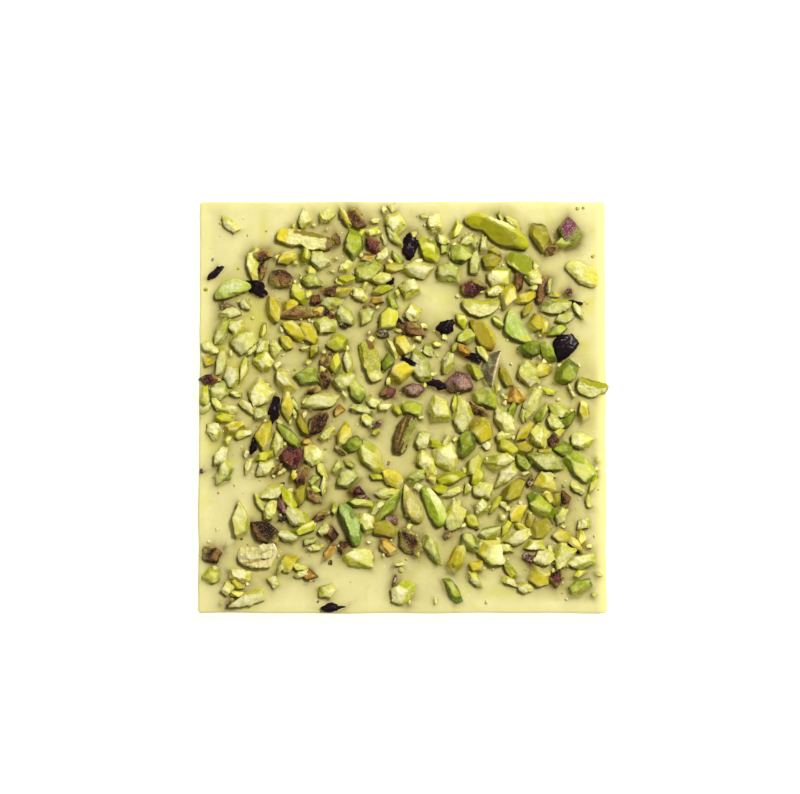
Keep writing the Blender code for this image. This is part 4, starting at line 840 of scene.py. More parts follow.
class Wire:
    # one output socket of a finish; sums and products of wires and numbers add Math nodes
    def __init__(self, finish, socket):
        self.finish = finish
        self.socket = socket

    def math(self, operation, first, second):
        return self.finish.node("ShaderNodeMath", {"operation": operation}, {0: first, 1: second})

    def __add__(self, other):
        return self.math("ADD", self, other)

    def __radd__(self, other):
        return self.math("ADD", other, self)

    def __sub__(self, other):
        return self.math("SUBTRACT", self, other)

    def __rsub__(self, other):
        return self.math("SUBTRACT", other, self)

    def __mul__(self, other):
        return self.math("MULTIPLY", self, other)

    def __rmul__(self, other):
        return self.math("MULTIPLY", other, self)


class Finish:
    # a material: fixed numbers go on its shader's own sockets, and varying ones are wired in
    def __init__(self, name, **fixed):
        self.material = bpy.data.materials.new(name)
        self.material.use_nodes = True
        self.tree = self.material.node_tree
        self.shader = self.tree.nodes["Principled BSDF"]
        for socket, value in fixed.items():
            self.shader.inputs[socket].default_value = value
        place = self.node("ShaderNodeTexCoord", {}, {}, "Object")
        self.place = self.node("ShaderNodeVectorMath", {"operation": "SCALE"}, {0: place, "Scale": 1 / mm})

    def node(self, kind, settings, inputs, output=0):
        made = self.tree.nodes.new(kind)
        for key, value in settings.items():
            setattr(made, key, value)
        for key, value in inputs.items():
            self.wire(value, made.inputs[key])
        return Wire(self, made.outputs[output])

    def wire(self, value, socket):
        if isinstance(value, Wire):
            self.tree.links.new(value.socket, socket)
        else:
            socket.default_value = value

    def mark(self, name):
        return self.node("ShaderNodeAttribute", {"attribute_name": name}, {}, "Fac")

    def tint(self):
        return self.node("ShaderNodeAttribute", {"attribute_name": "tint"}, {}, "Color")

    def noise(self, length, detail=3.0, roughness=0.55, distortion=0.0):
        # cloudy noise, length in millimetres from one patch to the next
        inputs = {"Vector": self.place, "Scale": 1 / length, "Detail": detail,
                  "Roughness": roughness, "Distortion": distortion}
        return self.node("ShaderNodeTexNoise", {}, inputs, "Fac")

    def dots(self, spacing, radius, share):
        # round spots about one cell apart, in the given share of the cells, 1 inside and 0 outside
        inputs = {"Vector": self.place, "Scale": 1 / spacing, "Randomness": 1.0}
        distance = self.node("ShaderNodeTexVoronoi", {}, inputs, "Distance")
        cellColour = Wire(self, distance.socket.node.outputs["Color"])
        red = self.node("ShaderNodeSeparateColor", {}, {0: cellColour}, 0)
        green = Wire(self, red.socket.node.outputs[1])
        size = radius * (0.45 + 0.9 * green)
        return self.step(size - distance * spacing, 0.0, 0.07) * self.step(share - red, 0.0, 0.01)

    def step(self, value, low, high):
        inputs = {"Value": value, "From Min": low, "From Max": high}
        return self.node("ShaderNodeMapRange", {"interpolation_type": "SMOOTHSTEP"}, inputs)

    def mix(self, share, first, second):
        colours = [value if isinstance(value, Wire) else (*linear(value), 1) for value in (first, second)]
        settings = {"data_type": "RGBA", "blend_type": "MIX", "clamp_factor": True}
        return self.node("ShaderNodeMix", settings, {0: share, 6: colours[0], 7: colours[1]}, 2)

    def layered(self, colour, layers):
        # lays tones over a colour, each as far as its pattern passes from low to high
        for pattern, low, high, share, tone in layers:
            colour = self.mix(self.step(pattern, low, high) * share, colour, tone)
        return colour

    def bump(self, height, distance, strength=1.0):
        inputs = {"Height": height, "Distance": distance * mm, "Strength": strength}
        return self.node("ShaderNodeBump", {}, inputs)

    def set(self, **sockets):
        for name, value in sockets.items():
            self.wire(value, self.shader.inputs[name.replace("_", " ")])
        return self.material


# chocolate colours: the dark browns laid round the pieces are painted shade and painted cast shadow, the
# pale yellow of the edges a painted glow, and the oil, stains, dust and specks its own
chocolateLooks = {
    "cream": (228, 218, 150),
    "khaki": (203, 193, 117),
    "oilAndShadeHalo": (150, 132, 40),
    "contactShade": (84, 66, 12),
    "skinShade": (104, 72, 26),
    "margin": (250, 243, 156),
    "oil": (206, 206, 66),
    "speck": (92, 70, 40),
    "dust": (254, 249, 200),
    "shade": (84, 68, 14),
    "stain": (214, 204, 74),
    "leeShadow": (58, 44, 8),
}


def chocolateFinish(looks):
    finish = Finish("whiteChocolate", **{
        "Subsurface Weight": 0.20, "Subsurface Scale": 0.8 * mm, "IOR": 1.45,
        "Subsurface Radius": (1.0, 0.80, 0.30), "Specular IOR Level": 0.15,
    })
    oilAndShadeHalo = finish.mark("oilAndShadeHalo")
    cloud = finish.noise(14, 2.0)
    fine = finish.noise(3.2, 3.0)
    grain = finish.noise(0.5, 3.0, 0.6)
    # khaki where the pieces crowd, broken by cloudy noise: partly painted shade among the pieces and partly
    # an oily tone
    share = finish.step(finish.mark("crowd") + 1.3 * (cloud - 0.5), 0.2, 0.9)
    base = finish.mix(share, looks["cream"], looks["khaki"])
    # painted shade where two pieces lie close together
    base = finish.mix(finish.mark("between") * 0.85, base, looks["shade"])
    # painted cast shadow on the side of each piece away from the light, darker where pieces crowd
    base = finish.mix(finish.mark("leeShadow") * (0.25 + 0.55 * finish.mark("crowd")), base, looks["leeShadow"])
    oil = finish.step(finish.noise(6.5, 2.0, 0.5, 0.6), 0.57, 0.72) * 0.34
    base = finish.mix(oil, base, looks["oil"])
    base = finish.mix(finish.mark("stain") * (0.25 + 0.6 * fine), base, looks["stain"])
    base = finish.mix(finish.step(fine, 0.3, 0.75) * 0.14, base, looks["dust"])
    # a darker ring round each piece: painted shade, partly an oil stain
    base = finish.mix(oilAndShadeHalo * (0.24 * fine), base, looks["oilAndShadeHalo"])
    # a wider, softer painted shadow on the side away from the light
    base = finish.mix(finish.mark("softLeeShadow") * 0.20, base, looks["oilAndShadeHalo"])
    # painted brown shade on the chocolate beside skinned pieces
    base = finish.mix(finish.mark("skinShade") * 0.5, base, looks["skinShade"])
    # painted contact shade right at the foot of every piece
    base = finish.mix(finish.mark("contactShade") * (0.25 * fine), base, looks["contactShade"])
    # painted glow along the edges
    base = finish.mix(finish.mark("margin") * 0.75, base, looks["margin"])
    base = finish.mix(finish.step(grain, 0.62, 0.74) * 0.3, base, looks["dust"])
    specks = finish.dots(3.4, 0.20, 0.45) * 0.7 + finish.dots(1.7, 0.10, 0.40) * 0.7
    base = finish.mix(specks, base, looks["speck"])
    base = finish.mix(finish.dots(2.3, 0.15, 0.20) * 0.65, base, looks["dust"])
    pits = finish.dots(4.2, 0.28, 0.20)
    normal = finish.bump(grain * 0.5 + fine * 1.2 - pits * 0.8, 0.05, 0.7)
    return finish.set(Base_Color=base, Roughness=0.36 + 0.16 * fine + 0.08 * cloud, Normal=normal)


def nutFinish(name, weight):
    # broken nut: its own tint, with pale mealy patches, dark pores and grit where the flesh is broken
    finish = Finish(name, **{
        "Subsurface Weight": weight, "Subsurface Scale": 0.45 * mm, "IOR": 1.42,
        "Subsurface Radius": (1.0, 0.85, 0.30), "Specular IOR Level": 0.12,
    })
    mealy = finish.mark("mealy")
    patch = finish.noise(1.2, 4.0, 0.62)
    crumbly = finish.noise(0.55, 3.0, 0.6, 0.6)
    grit = finish.noise(0.27, 2.0, 0.6)
    colour = finish.layered(finish.tint(), (
        (patch, 0.47, 0.30, 0.20 + 0.26 * mealy, (170, 166, 20)),
        (patch, 0.52, 0.66, 0.02 + 0.37 * mealy, (255, 249, 204)),
        (crumbly, 0.42, 0.28, 0.08 + 0.24 * mealy, (166, 152, 30)),
        (grit, 0.57, 0.70, 0.01 + 0.28 * mealy, (255, 252, 222)),
        (grit, 0.40, 0.29, 0.04 + 0.24 * mealy, (128, 112, 24)),
    ))
    normal = finish.bump(grit * 0.35 + crumbly * 0.9 + patch * 0.6, 0.26, 0.25 + 0.65 * mealy)
    return finish.set(Base_Color=colour, Roughness=0.40 + 0.22 * mealy + 0.15 * grit, Normal=normal)


def petalFinish():
    # dried petal: near black, with glossy wrinkles that show wine red, and fine pale pink specks that are a
    # painted highlight
    finish = Finish("driedPetal", **{
        "IOR": 1.45, "Specular IOR Level": 0.10, "Coat Weight": 0.10, "Coat Roughness": 0.22,
    })
    fold = finish.noise(0.9, 3.0, 0.6, 1.5)
    fine = finish.noise(0.35, 2.0)
    colour = finish.layered(finish.tint(), (
        (fold, 0.52, 0.70, 0.6, (44, 13, 20)),
        # fine pale pink specks: painted highlight
        (fine, 0.61, 0.72, 0.08, (150, 100, 94)),
    ))
    normal = finish.bump(fold + 0.4 * fine, 0.36, 1.0)
    return finish.set(Base_Color=colour, Roughness=0.45 + 0.3 * fold, Normal=normal)


def skinFinish():
    # papery nut skin: golden brown and near black by turns, with pale fibres
    finish = Finish("nutSkin", **{"IOR": 1.42, "Specular IOR Level": 0.1})
    patch = finish.noise(1.5, 4.0, 0.65, 0.8)
    fibre = finish.noise(0.5, 3.0, 0.6, 1.4)
    grit = finish.noise(0.27, 2.0, 0.6)
    colour = finish.layered(finish.tint(), (
        (patch, 0.51, 0.62, 0.5, (150, 108, 62)),
        (patch, 0.49, 0.38, 0.65, (34, 22, 17)),
        (fibre, 0.57, 0.68, 0.45, (220, 194, 140)),
        (grit, 0.44, 0.32, 0.55, (26, 16, 12)),
    ))
    normal = finish.bump(patch + fibre * 0.7 + grit * 0.3, 0.30, 1.0)
    return finish.set(Base_Color=colour, Roughness=0.45 + 0.25 * grit, Normal=normal)


def mauveFinish():
    # the purple blossom lumps: close crystals, pale on the crests as a painted highlight and wine dark
    # between them as painted shade
    finish = Finish("mauveCrystals", **{"IOR": 1.42, "Specular IOR Level": 0.2})
    crystal = finish.noise(0.42, 3.0, 0.7)
    patch = finish.noise(1.8, 2.0)
    colour = finish.layered(finish.tint(), (
        # painted highlight on the crystal crests and painted shade in the gaps, on the same noise that
        # makes the bumps
        (crystal, 0.53, 0.66, 0.6, (216, 184, 166)),
        (crystal, 0.47, 0.35, 0.75, (66, 36, 36)),
        (patch, 0.55, 0.70, 0.35, (176, 132, 74)),
    ))
    normal = finish.bump(crystal, 0.40, 1.0)
    return finish.set(Base_Color=colour, Roughness=0.5 + 0.2 * crystal, Normal=normal)


def huskFinish():
    # membrane: grey green with darker spots and a milky sheen here and there
    finish = Finish("husk", **{"IOR": 1.4})
    vein = finish.noise(1.6, 3.0, 0.5, 0.7)
    spot = finish.noise(0.6, 2.0)
    colour = finish.layered(finish.tint(), (
        (vein, 0.50, 0.62, 0.5, (190, 182, 132)),
        (vein, 0.47, 0.36, 0.6, (66, 60, 30)),
        (spot, 0.42, 0.34, 0.3, (60, 54, 28)),
    ))
    return finish.set(Base_Color=colour, Roughness=0.32 + 0.2 * vein, Normal=finish.bump(vein, 0.14))


# skin and end colours, how wrinkled and how rough, and flat cuts: heading in the kernel's own frame,
# how far out the cut lies in millimetres, its colour and how mealy it is. Bulges: place along the
# kernel from 0 to 1, side, height as a share of the half width, reach. Patches: place along and
# aside, half length and half width in millimetres, colour, weight and how mealy
kernelLooks = {
    "long_sliver": {
        "skin": (210, 200, 84), "ends": (200, 180, 60), "wrinkle": 0.05, "rough": 1.1,
        "bulges": ((0.25, -1, 0.18, 0.12), (0.62, -1, 0.22, 0.10), (0.45, -1, -0.18, 0.07)),
        "cuts": (((0.02, -0.10, 1.0), 1.0, (238, 231, 150), 1.0),),
        "patches": ((-5.9, 0.2, 1.7, 2.2, (224, 206, 22), 0.9, 0.15),
                    (1.4, 1.35, 4.6, 0.75, (140, 120, 16), 0.95, 0.05),
                    (6.3, -0.2, 1.0, 1.6, (112, 70, 26), 0.85, 0.3)),
    },
    "great_half": {
        "skin": (150, 146, 2), "ends": (186, 182, 14), "wrinkle": 0.03, "rough": 0.4,
        "bulges": ((0.30, -1, -0.30, 0.10), (0.62, -1, 0.24, 0.16), (0.42, 1, -0.24, 0.10),
                   (0.14, 1, 0.15, 0.08)),
        "cuts": (((-0.12, -0.45, 0.88), 1.5, (162, 157, 28), 0.0),
                 ((0.03, 0.80, 0.60), 1.9, (190, 186, 36), 0.2)),
        "patches": ((0.2, 1.8, 2.8, 0.75, (234, 228, 152), 0.9, 1.0),
                    (-6.4, 0.6, 1.9, 1.6, (196, 190, 30), 0.7, 0.05),
                    (6.6, -0.3, 1.7, 1.7, (190, 188, 34), 0.6, 0.05)),
    },
    "lower_half": {
        "skin": (122, 129, 6), "ends": (140, 146, 12), "wrinkle": 0.03, "rough": 0.5,
        "bulges": ((0.72, 1, 0.30, 0.16), (0.25, -1, 0.18, 0.15)),
        "cuts": (((0.1, 0.1, 1.0), 1.0, (144, 151, 8), 0.1),
                 ((-0.7, -0.3, 0.65), 1.9, (170, 176, 30), 0.1)),
        "patches": ((-1.4, -1.6, 2.0, 0.4, (226, 224, 120), 0.8, 0.5),),
    },
    "leaf_kernel": {
        "skin": (154, 176, 56), "ends": (192, 196, 60), "wrinkle": 0.04, "rough": 0.8,
        "bulges": ((0.40, -1, 0.20, 0.16), (0.75, -1, -0.12, 0.10)),
        "cuts": (((0.0, 0.12, 0.99), 0.75, (182, 198, 94), 0.6),),
        "patches": ((3.6, 0.0, 1.3, 1.2, (206, 204, 74), 0.8, 0.1),
                    (0.2, -1.6, 3.4, 0.5, (138, 164, 34), 0.7, 0.1),
                    (-0.6, 0.3, 2.6, 0.16, (168, 184, 82), 0.7, 0.3)),
    },
    "golden_slice": {
        "skin": (164, 150, 2), "ends": (146, 122, 6), "wrinkle": 0.03, "rough": 0.4,
        "bulges": ((0.30, 1, 0.14, 0.12), (0.7, -1, 0.12, 0.12)),
        "cuts": (((0.0, 0.1, 1.0), 1.0, (160, 141, 2), 0.1),
                 ((0.1, 0.9, 0.4), 1.6, (204, 192, 30), 0.05)),
        "patches": ((4.0, -0.2, 1.2, 1.8, (160, 124, 14), 0.7, 0.05),),
    },
    "cream_half": {
        "skin": (204, 202, 70), "ends": (176, 178, 44), "wrinkle": 0.05, "rough": 1.1,
        "cuts": (((0.0, -0.2, 1.0), 1.0, (238, 230, 150), 1.0),),
        "patches": ((0.6, 1.75, 4.6, 0.8, (188, 186, 36), 0.95, 0.1),
                    (3.4, 0.7, 1.3, 1.1, (168, 166, 30), 0.8, 0.15),
                    (-3.6, 0.4, 1.3, 1.0, (190, 188, 50), 0.7, 0.3)),
    },
    "coated_kernel": {
        "skin": (224, 218, 122), "ends": (218, 212, 98), "wrinkle": 0.03, "rough": 1.1,
        "bulges": ((0.72, 1, 0.35, 0.12), (0.55, -1, 0.20, 0.14), (0.45, 1, -0.20, 0.10)),
        "cuts": (((0.1, 0.2, 1.0), 1.15, (218, 212, 108), 0.2),),
        "patches": ((2.8, 0.3, 1.7, 1.6, (222, 210, 72), 0.7, 0.1),),
    },
    "edge_slice": {
        "skin": (196, 196, 66), "ends": (160, 156, 34), "wrinkle": 0.03, "rough": 1.0,
        "bulges": ((0.80, -1, -0.30, 0.14), (0.10, 1, 0.20, 0.10)),
        "cuts": (((0.1, 0.55, 0.83), 1.3, (158, 154, 18), 0.05),
                 ((0.0, -0.5, 0.86), 1.05, (240, 236, 150), 0.9)),
        "patches": ((0.0, 2.0, 4.0, 0.35, (116, 106, 22), 0.9, 0.1),
                    (-2.4, -1.3, 1.2, 0.8, (222, 220, 110), 0.6, 0.6)),
    },
    "pale_chip": {
        "skin": (190, 188, 34), "ends": (206, 196, 70), "wrinkle": 0.05, "rough": 1.3,
        "bulges": ((0.30, 1, 0.18, 0.10), (0.55, -1, 0.15, 0.10), (0.8, 1, -0.15, 0.08)),
        "cuts": (((0.0, 0.0, 1.0), 1.05, (184, 178, 62), 0.9),),
        "patches": ((-3.9, 1.0, 1.7, 0.7, (112, 68, 14), 0.9, 0.15),
                    (4.0, 0.0, 1.4, 1.5, (240, 232, 150), 0.7, 1.0)),
    },
    "wrinkled_kernel": {
        "skin": (118, 140, 44), "ends": (142, 162, 58), "wrinkle": 0.13, "rough": 1.3,
        "bulges": ((0.30, 1, -0.16, 0.09), (0.62, -1, -0.14, 0.08)),
        "cuts": (((0.0, 0.4, 0.9), 1.5, (170, 190, 94), 0.7),),
        "patches": ((-3.4, -0.2, 1.6, 1.1, (172, 188, 108), 0.7, 0.6),),
    },
    "drop_kernel": {
        "skin": (194, 180, 88), "ends": (186, 166, 78), "wrinkle": 0.04, "rough": 0.8,
        "cuts": (((0.0, 0.1, 1.0), 1.6, (212, 200, 112), 0.6),),
        "patches": ((3.2, -0.8, 1.4, 0.9, (178, 166, 60), 0.7, 0.3),
                    (-4.2, 0.0, 0.9, 0.8, (238, 226, 140), 0.8, 0.2)),
    },
    "bright_kernel": {
        "skin": (156, 178, 34), "ends": (146, 166, 30), "wrinkle": 0.03, "rough": 0.7,
        "bulges": ((0.62, -1, 0.16, 0.14), (0.35, 1, -0.14, 0.12)),
        "cuts": (((0.0, -0.65, 0.76), 1.5, (182, 200, 52), 0.15),
                 ((0.0, 0.6, 0.8), 1.4, (208, 212, 110), 0.5)),
        "patches": ((-1.8, 1.0, 2.8, 0.8, (240, 236, 166), 0.85, 0.9),
                    (3.4, -0.2, 1.4, 1.3, (184, 200, 60), 0.6, 0.1)),
    },
    "brown_slice": {
        "skin": (96, 70, 34), "ends": (84, 58, 28), "wrinkle": 0.14, "rough": 1.2,
        "cuts": (((0.0, 0.25, 0.97), 1.3, (94, 72, 28), 0.4),
                 ((0.0, -0.8, 0.6), 1.15, (152, 152, 66), 0.9)),
        "patches": ((0.6, 0.9, 3.2, 0.25, (176, 150, 62), 0.7, 0.5),
                    (-1.2, -0.1, 2.4, 0.2, (160, 132, 54), 0.6, 0.5)),
    },
    "speckled_kernel": {
        "skin": (226, 212, 140), "ends": (244, 236, 176), "wrinkle": 0.14, "rough": 2.2,
        "bulges": ((0.12, 1, 0.30, 0.06), (0.3, -1, 0.25, 0.06), (0.5, 1, -0.22, 0.07),
                   (0.75, -1, 0.22, 0.07)),
        "cuts": (((0.1, 0.3, 0.95), 1.3, (218, 208, 142), 1.0),),
        "patches": ((1.2, 0.9, 1.6, 0.5, (176, 180, 98), 0.7, 0.8),
                    (-3.0, 0.4, 1.0, 0.6, (190, 170, 96), 0.6, 0.8),
                    (-1.2, -1.0, 3.0, 0.3, (150, 108, 50), 0.8, 1.0),
                    (1.6, 0.5, 1.8, 0.2, (160, 118, 58), 0.7, 1.0)),
    },
    "dusty_kernel": {
        "skin": (190, 199, 84), "ends": (180, 192, 70), "wrinkle": 0.02, "rough": 1.0,
        "cuts": (((-0.05, 0.15, 1.0), 1.5, (206, 212, 122), 0.8),),
        "patches": ((-3.4, 0.0, 1.3, 1.5, (162, 174, 62), 0.6, 0.4),
                    (1.0, 0.4, 2.0, 0.9, (216, 216, 150), 0.6, 1.0)),
    },
}

kernelGrid = {
    "stations": 73,
    "around": 60,
    "soft": 0.07,
    "lumps": ((3.0, 0.11), (1.5, 0.07), (0.8, 0.05), (0.45, 0.03)),
    # rim: how much each cut's edge is lightened, partly a painted highlight and partly pale broken flesh
    "rim": 0.28,
    "boxiness": 0.86,
    "endsFrom": 0.6,
    # foldShade: the wrinkle crests painted lighter and the folds darker, as painted highlight and shade
    "foldShade": 0.12,
    "skinMealy": 0.25,
    "cutWave": 0.10,
    "patchWave": 0.16,
}


def kernelMesh(place, looks, seed):
    # Oval rings whose size follows a power of a sine along a bowed spine, wrinkled by waves round the
    # ring. Each cut presses what stands past its plane back onto it, rounded as log(1 + exp) over the
    # soft length, and sums of sines roughen all.
    x, y, length, width, height, turn, bow, taper, point = place
    sink = setting["kernelSink"]
    thickness = height + sink
    rows, columns = kernelGrid["stations"], kernelGrid["around"]
    along = (1 - np.cos(math.pi * np.linspace(0, 1, rows))) / 2
    swell = np.sin(math.pi * np.clip(along, 1e-6, 1 - 1e-6)) ** point * (1 + taper * (2 * along - 1))
    swell[[0, -1]] = 0
    spine = bow * (1 - 2 * (2 * along - 1) ** 2)
    around = 2 * math.pi * np.arange(columns) / columns
    u, v = np.meshgrid(along, around, indexing="ij")
    rng = np.random.default_rng([setting["seed"], seed])
    phase = rng.uniform(0, 6, 3)
    folds = sum(np.sin((k + 3) * v + phase[k] + 2.2 * np.sin(3 * u + k)) for k in range(3))
    body = swell[:, None] * (1 + looks["wrinkle"] * folds)
    full = kernelGrid["boxiness"]
    px = length * (u - 0.5)
    aside = np.cos(v)
    for where, side, amount, reach in looks.get("bulges", ()):
        facing = np.clip(side * aside + 0.15, 0, 1)
        body = body * (1 + amount * np.exp(-(((u - where) / reach) ** 2)) * facing)
    py = spine[:, None] + width / 2 * body * np.sign(aside) * np.abs(aside) ** full
    pz = thickness / 2 * body * np.sign(np.sin(v)) * np.abs(np.sin(v)) ** full
    points = np.stack([px, py, pz], -1)
    ends = smooth(np.abs(2 * u - 1), kernelGrid["endsFrom"], 1.0)[..., None]
    colours = linear(looks["skin"]) * (1 - ends) + linear(looks["ends"]) * ends
    # wrinkle crests lighter and folds darker, following the folds that shape the body: painted highlight
    # and shade
    colours = colours * (1 + kernelGrid["foldShade"] * np.tanh(folds))[..., None]
    mealy = np.full(u.shape, kernelGrid["skinMealy"])
    soft, cutWave, patchWave = (kernelGrid[key] for key in ("soft", "cutWave", "patchWave"))
    for heading, reach, colour, grain in looks["cuts"]:
        normal = np.array(heading) / np.linalg.norm(heading)
        past = (points - np.stack([0 * u, spine[:, None] + 0 * u, 0 * u], -1)) @ normal - reach
        wavy = past + cutWave * (np.sin(2.6 * px + seed) + 0.6 * np.sin(6.1 * px + 3 * seed))
        points = points - (soft * np.logaddexp(0, past / soft))[..., None] * normal
        share = smooth(wavy, -0.05, 0.12)[..., None]
        colours = colours * (1 - share) + linear(colour) * share
        mealy = mealy * (1 - share[..., 0]) + grain * share[..., 0]
        # each cut's edge lightened: partly painted highlight, partly pale broken flesh
        edge = kernelGrid["rim"] * np.exp(-(((wavy - 0.03) / 0.09) ** 2))[..., None]
        colours = colours + (1 - colours) * edge * colours.max(-1, keepdims=True)
    for where, side, long, wide, colour, weight, grain in looks.get("patches", ()):
        off = np.hypot((px - where) / long, (points[..., 1] - spine[:, None] - side) / wide)
        off += patchWave * (np.sin(3.1 * px + seed) + 0.75 * np.sin(4.7 * points[..., 1] + 2 * seed))
        share = (weight * smooth(-off, -1.15, -0.8))[..., None]
        colours = colours * (1 - share) + linear(colour) * share
        mealy = mealy * (1 - share[..., 0]) + grain * share[..., 0]
    flat = points.reshape(-1, 3)
    swellAt = np.repeat(np.minimum(swell, 1), columns)
    outward = np.stack([0 * flat[:, 0], np.cos(v).ravel(), np.sin(v).ravel()], -1)
    lumps = sum(
        ripple(flat, seed * 5 + 40 + step, wave) * tall
        for step, (wave, tall) in enumerate(kernelGrid["lumps"])
    )
    flat = flat + outward * (lumps * swellAt * looks["rough"])[:, None]
    mealy = mealy * smooth(colours.max(-1), 0.08, 0.45)
    poles = np.array([flat[:columns].mean(0), flat[-columns:].mean(0)])
    flat = np.vstack([flat[columns:-columns], poles])
    colours = np.clip(colours.reshape(-1, 3), 0, 1)
    colours = np.vstack([colours[columns:-columns], colours[[0, -1]]])
    mealy = np.append(mealy.ravel()[columns:-columns], np.full(2, kernelGrid["skinMealy"]))
    rows -= 2
    faces = gridFaces(rows, columns, True)[:, ::-1].tolist()
    first, last = rows * columns, rows * columns + 1
    ring = np.arange(columns)
    after = (ring + 1) % columns
    end = (rows - 1) * columns
    faces += np.stack([np.full(columns, first), after, ring], 1).tolist()
    faces += np.stack([np.full(columns, last), end + ring, end + after], 1).tolist()
    lie = turned(math.radians(turn), "Z")
    lift = slab["height"] - sink + thickness / 2
    return flat @ lie.T + (x, y, lift), faces, colours, mealy


def huskMesh():
    # A thin shell: its width swells as a sine between the tips, its rim side curls up, and both
    # faces share one grid.
    (firstX, firstY), (lastX, lastY) = husk["tips"]
    length = math.hypot(lastX - firstX, lastY - firstY)
    ahead = np.array([(lastX - firstX) / length, (lastY - firstY) / length, 0])
    aside = np.array([-ahead[1], ahead[0], 0])
    rows, columns = husk["steps"]
    u, v = np.meshgrid(np.linspace(0, 1, rows), np.linspace(0, 1, columns), indexing="ij")
    breadth = husk["tipWidth"] + (husk["width"] - husk["tipWidth"]) * np.sin(math.pi * u) ** 0.7
    curl = husk["lift"] + husk["rise"] * (0.35 + 0.65 * np.sin(math.pi * u)) * (1 - smooth(v, 0, 1.1))
    curl = curl + 0.10 * np.sin(9 * u + 2 * v) * np.sin(math.pi * v)
    tip = np.array([firstX, firstY, slab["height"]])
    flat = tip + (length * u)[..., None] * ahead + (breadth * v)[..., None] * aside
    thinnest, fade = husk["edgeShare"]
    thin = husk["thickness"] * (thinnest + (1 - thinnest) * np.exp(-v / fade))
    middle = curl - husk["sunk"]
    low = (flat + (middle - thin / 2)[..., None] * (0, 0, 1)).reshape(-1, 3)
    high = (flat + (middle + thin / 2)[..., None] * (0, 0, 1)).reshape(-1, 3)
    count = rows * columns
    grid = gridFaces(rows, columns)
    rim = gridBorder(rows, columns)
    after = np.roll(rim, -1)
    wall = np.stack([rim, after, after + count, rim + count], 1)
    faces = np.vstack([grid[:, ::-1], grid + count, wall])
    pale = np.exp(-((v / husk["rimShare"]) ** 4))[..., None]
    colours = linear(husk["membrane"]) * (1 - pale) + linear(husk["rim"]) * pale
    colours = colours.reshape(-1, 3)
    return np.vstack([low, high]), faces, np.vstack([colours, colours])


crumbs = {
    "count": 520,
    "steps": 2,
    "sizes": (0.35, 1.25),
    "sizePower": 2.4,
    "besideShare": 0.72,
    "awayLength": 0.9,
    "margin": 1.4,
    "bumpy": 0.36,
    "standing": 0.22,
    "colours": (
        (244, 236, 176), (236, 228, 150), (216, 214, 110), (240, 232, 162), (182, 186, 70),
        (206, 190, 60), (150, 108, 56), (92, 58, 34), (226, 222, 134), (242, 234, 172),
    ),
}


def crumbMesh(pieces):
    # small lumps on a coarse sphere grid, most of them beside a chunk and the rest anywhere
    rng = np.random.default_rng(setting["seed"] + 5)
    directions, quads = cubeSphere(crumbs["steps"])
    count = crumbs["count"]
    least, most = crumbs["sizes"]
    size = least + (most - least) * rng.random(count) ** crumbs["sizePower"]
    home = rng.integers(0, len(pieces), count)
    middles = np.array([piece["middle"][:2] for piece in pieces])[home]
    reach = np.array([max(piece["size"][:2]) for piece in pieces])[home] / 2
    angle = rng.uniform(0, 2 * math.pi, count)
    away = reach + rng.exponential(crumbs["awayLength"], count)
    spot = middles + np.stack([np.cos(angle), np.sin(angle)], 1) * away[:, None]
    loose = rng.random(count) > crumbs["besideShare"]
    half = np.array([slab["width"], slab["depth"]]) / 2 - crumbs["margin"]
    spot[loose] = rng.uniform(-1, 1, (loose.sum(), 2)) * half
    spot = np.where(np.abs(spot) > half, np.sign(spot) * (2 * half - np.abs(spot)), spot)
    shape = rng.uniform(0.55, 1.0, (count, 3))
    turn = rng.uniform(0, math.pi, count)
    bumpy = 1 + rng.uniform(-crumbs["bumpy"], crumbs["bumpy"], (count, len(directions)))
    local = directions * bumpy[..., None] * (shape * size[:, None] / 2)[:, None, :]
    c, s = np.cos(turn)[:, None], np.sin(turn)[:, None]
    x = local[..., 0] * c - local[..., 1] * s + spot[:, :1]
    y = local[..., 0] * s + local[..., 1] * c + spot[:, 1:]
    z = local[..., 2] + slab["height"] + size[:, None] * crumbs["standing"]
    points = np.stack([x, y, z], -1).reshape(-1, 3)
    faces = quads[None] + (np.arange(count) * len(directions))[:, None, None]
    shades = linear([crumbs["colours"][k] for k in rng.integers(0, len(crumbs["colours"]), count)])
    colours = np.repeat(shades, len(directions), axis=0)
    return points, faces.reshape(-1, 4), colours


pieces = [
    fragmentOf(kind, group, number, place)
    for group, (kind, places) in enumerate(placed.items())
    for number, place in enumerate(places)
]
smallPieces = [
    fragmentOf(kind, 20 + group, number, place)
    for group, (kind, places) in enumerate({**smallOnes, "crumb": scattered()}.items())
    for number, place in enumerate(places)
]
print("fragments laid out:", len(pieces))

finishes = {
    "nut": nutFinish("nutFlesh", 0.10),
    "clear": nutFinish("clearFlesh", 0.28),
    "skin": skinFinish(),
    "mauve": mauveFinish(),
    "petal": petalFinish(),
    "husk": huskFinish(),
}

points, faces, marks = slabMesh(pieces + smallPieces)
slabPiece = newPiece("chocolateSlab", points, faces, chocolateFinish(chocolateLooks), marks=marks)
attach(slabPiece, "root")
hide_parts("white_chocolate")
print("slab:", len(faces), "faces")

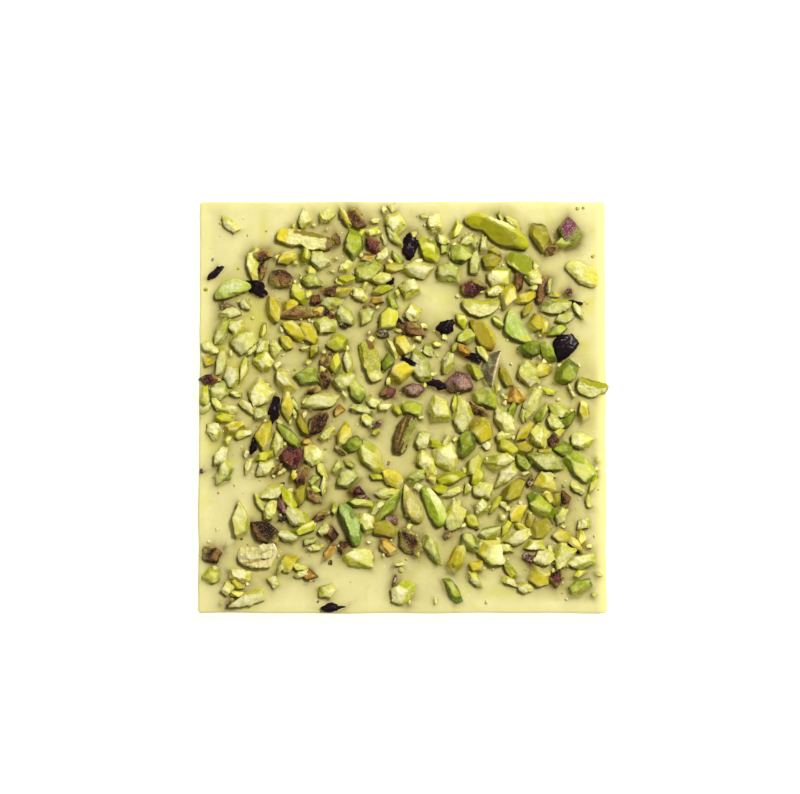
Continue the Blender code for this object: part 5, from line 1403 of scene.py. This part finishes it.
sets = {
    "creamChunks": (("cream",), "nut", "pistachio"),
    "sageChunks": (("sage",), "nut", "pistachio"),
    "limeChunks": (("lime",), "clear", "pistachio"),
    "greenChunks": (("green", "olive"), "nut", "pistachio"),
    "yellowChunks": (("yellow", "orange"), "clear", "pistachio"),
    "skinChunks": (("brown", "maroon"), "skin", "pistachio_skin"),
    "mauveLumps": (("mauve",), "mauve", "pistachio_skin"),
    "petals": (("petal",), "petal", "pistachio_skin"),
}
for seed, (name, (kinds, finish, slot)) in enumerate(sets.items()):
    members = [piece for piece in pieces if piece["kind"] in kinds]
    points, faces, colours, mealy = chunkMesh(members, 60 + 3 * seed, chunkLooks)
    made = newPiece(name, points, faces, finishes[finish], colours, {"mealy": mealy}, creases=38)
    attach(made, "root")
    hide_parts("white_chocolate")
    print(name, len(members), "pieces")

points, faces, colours, mealy = chunkMesh(smallPieces, 90, {**chunkLooks, "steps": 7})
smallChunks = newPiece("smallChunks", points, faces, finishes["nut"], colours, {"mealy": mealy}, creases=38)
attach(smallChunks, "root")

for seed, (name, place) in enumerate(kernelPlaces.items()):
    points, faces, colours, mealy = kernelMesh(place, kernelLooks[name], seed)
    look = "clear" if kernelLooks[name]["rough"] < 0.8 else "nut"
    made = newPiece("kernel_" + name, points, faces, finishes[look], colours, {"mealy": mealy}, creases=50)
    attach(made, "root")
    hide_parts(name)
print("kernels made")

points, faces, colours = huskMesh()
huskPiece = newPiece("curledHusk", points, faces, finishes["husk"], colours, creases=60)
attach(huskPiece, "root")
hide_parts("husk_curl")

points, faces, colours = crumbMesh(pieces)
crumbMarks = {"mealy": np.ones(len(points))}
crumbPiece = newPiece("nutCrumbs", points, faces, finishes["nut"], colours, crumbMarks, creases=22)
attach(crumbPiece, "root")
print("crumbs made")

stage = {
    "floorSize": 4.0,
    "floorLooks": {
        "Base Color": (0.95, 0.95, 0.95, 1), "Roughness": 0.9, "Specular IOR Level": 0.0,
        "Emission Color": (1, 1, 1, 1), "Emission Strength": 0.72,
    },
    "sky": 0.25,
    "keyPower": 7.5,
    "keySize": 0.16,
    "keyPlace": (0.30, 0.32, 0.72),
}

bpy.ops.mesh.primitive_plane_add(size=stage["floorSize"])
floor = bpy.context.object
floor.name = "floor"
floor.data.materials.append(Finish("floorPaper", **stage["floorLooks"]).material)

world = bpy.data.worlds.new("studio")
world.use_nodes = True
world.node_tree.nodes["Background"].inputs["Color"].default_value = (1, 1, 1, 1)
world.node_tree.nodes["Background"].inputs["Strength"].default_value = stage["sky"]
bpy.context.scene.world = world


def softbox(name, place, size, power):
    light = bpy.data.lights.new(name, "AREA")
    light.size = size
    light.energy = power
    lamp = bpy.data.objects.new(name, light)
    lamp.location = place
    lamp.rotation_euler = Vector(place).to_track_quat("Z", "Y").to_euler()
    bpy.context.scene.collection.objects.link(lamp)


softbox("keyLight", stage["keyPlace"], stage["keySize"], stage["keyPower"])

view = {
    "distance": 0.50,
    "tilt": 2.5,
    "lens": 91.6,
    "target": (0, 0, 0.0072),
    "shift": (-0.0031, 0.0117),
}
lens = bpy.data.cameras.new("camera")
lens.lens = view["lens"]
lens.shift_x, lens.shift_y = view["shift"]
camera = bpy.data.objects.new("camera", lens)
tilt = math.radians(view["tilt"])
target = Vector(view["target"])
camera.location = target + view["distance"] * Vector((0, -math.sin(tilt), math.cos(tilt)))
camera.rotation_euler = (tilt, 0, 0)
bpy.context.scene.collection.objects.link(camera)
bpy.context.scene.camera = camera
bpy.context.scene.view_settings.view_transform = "Standard"
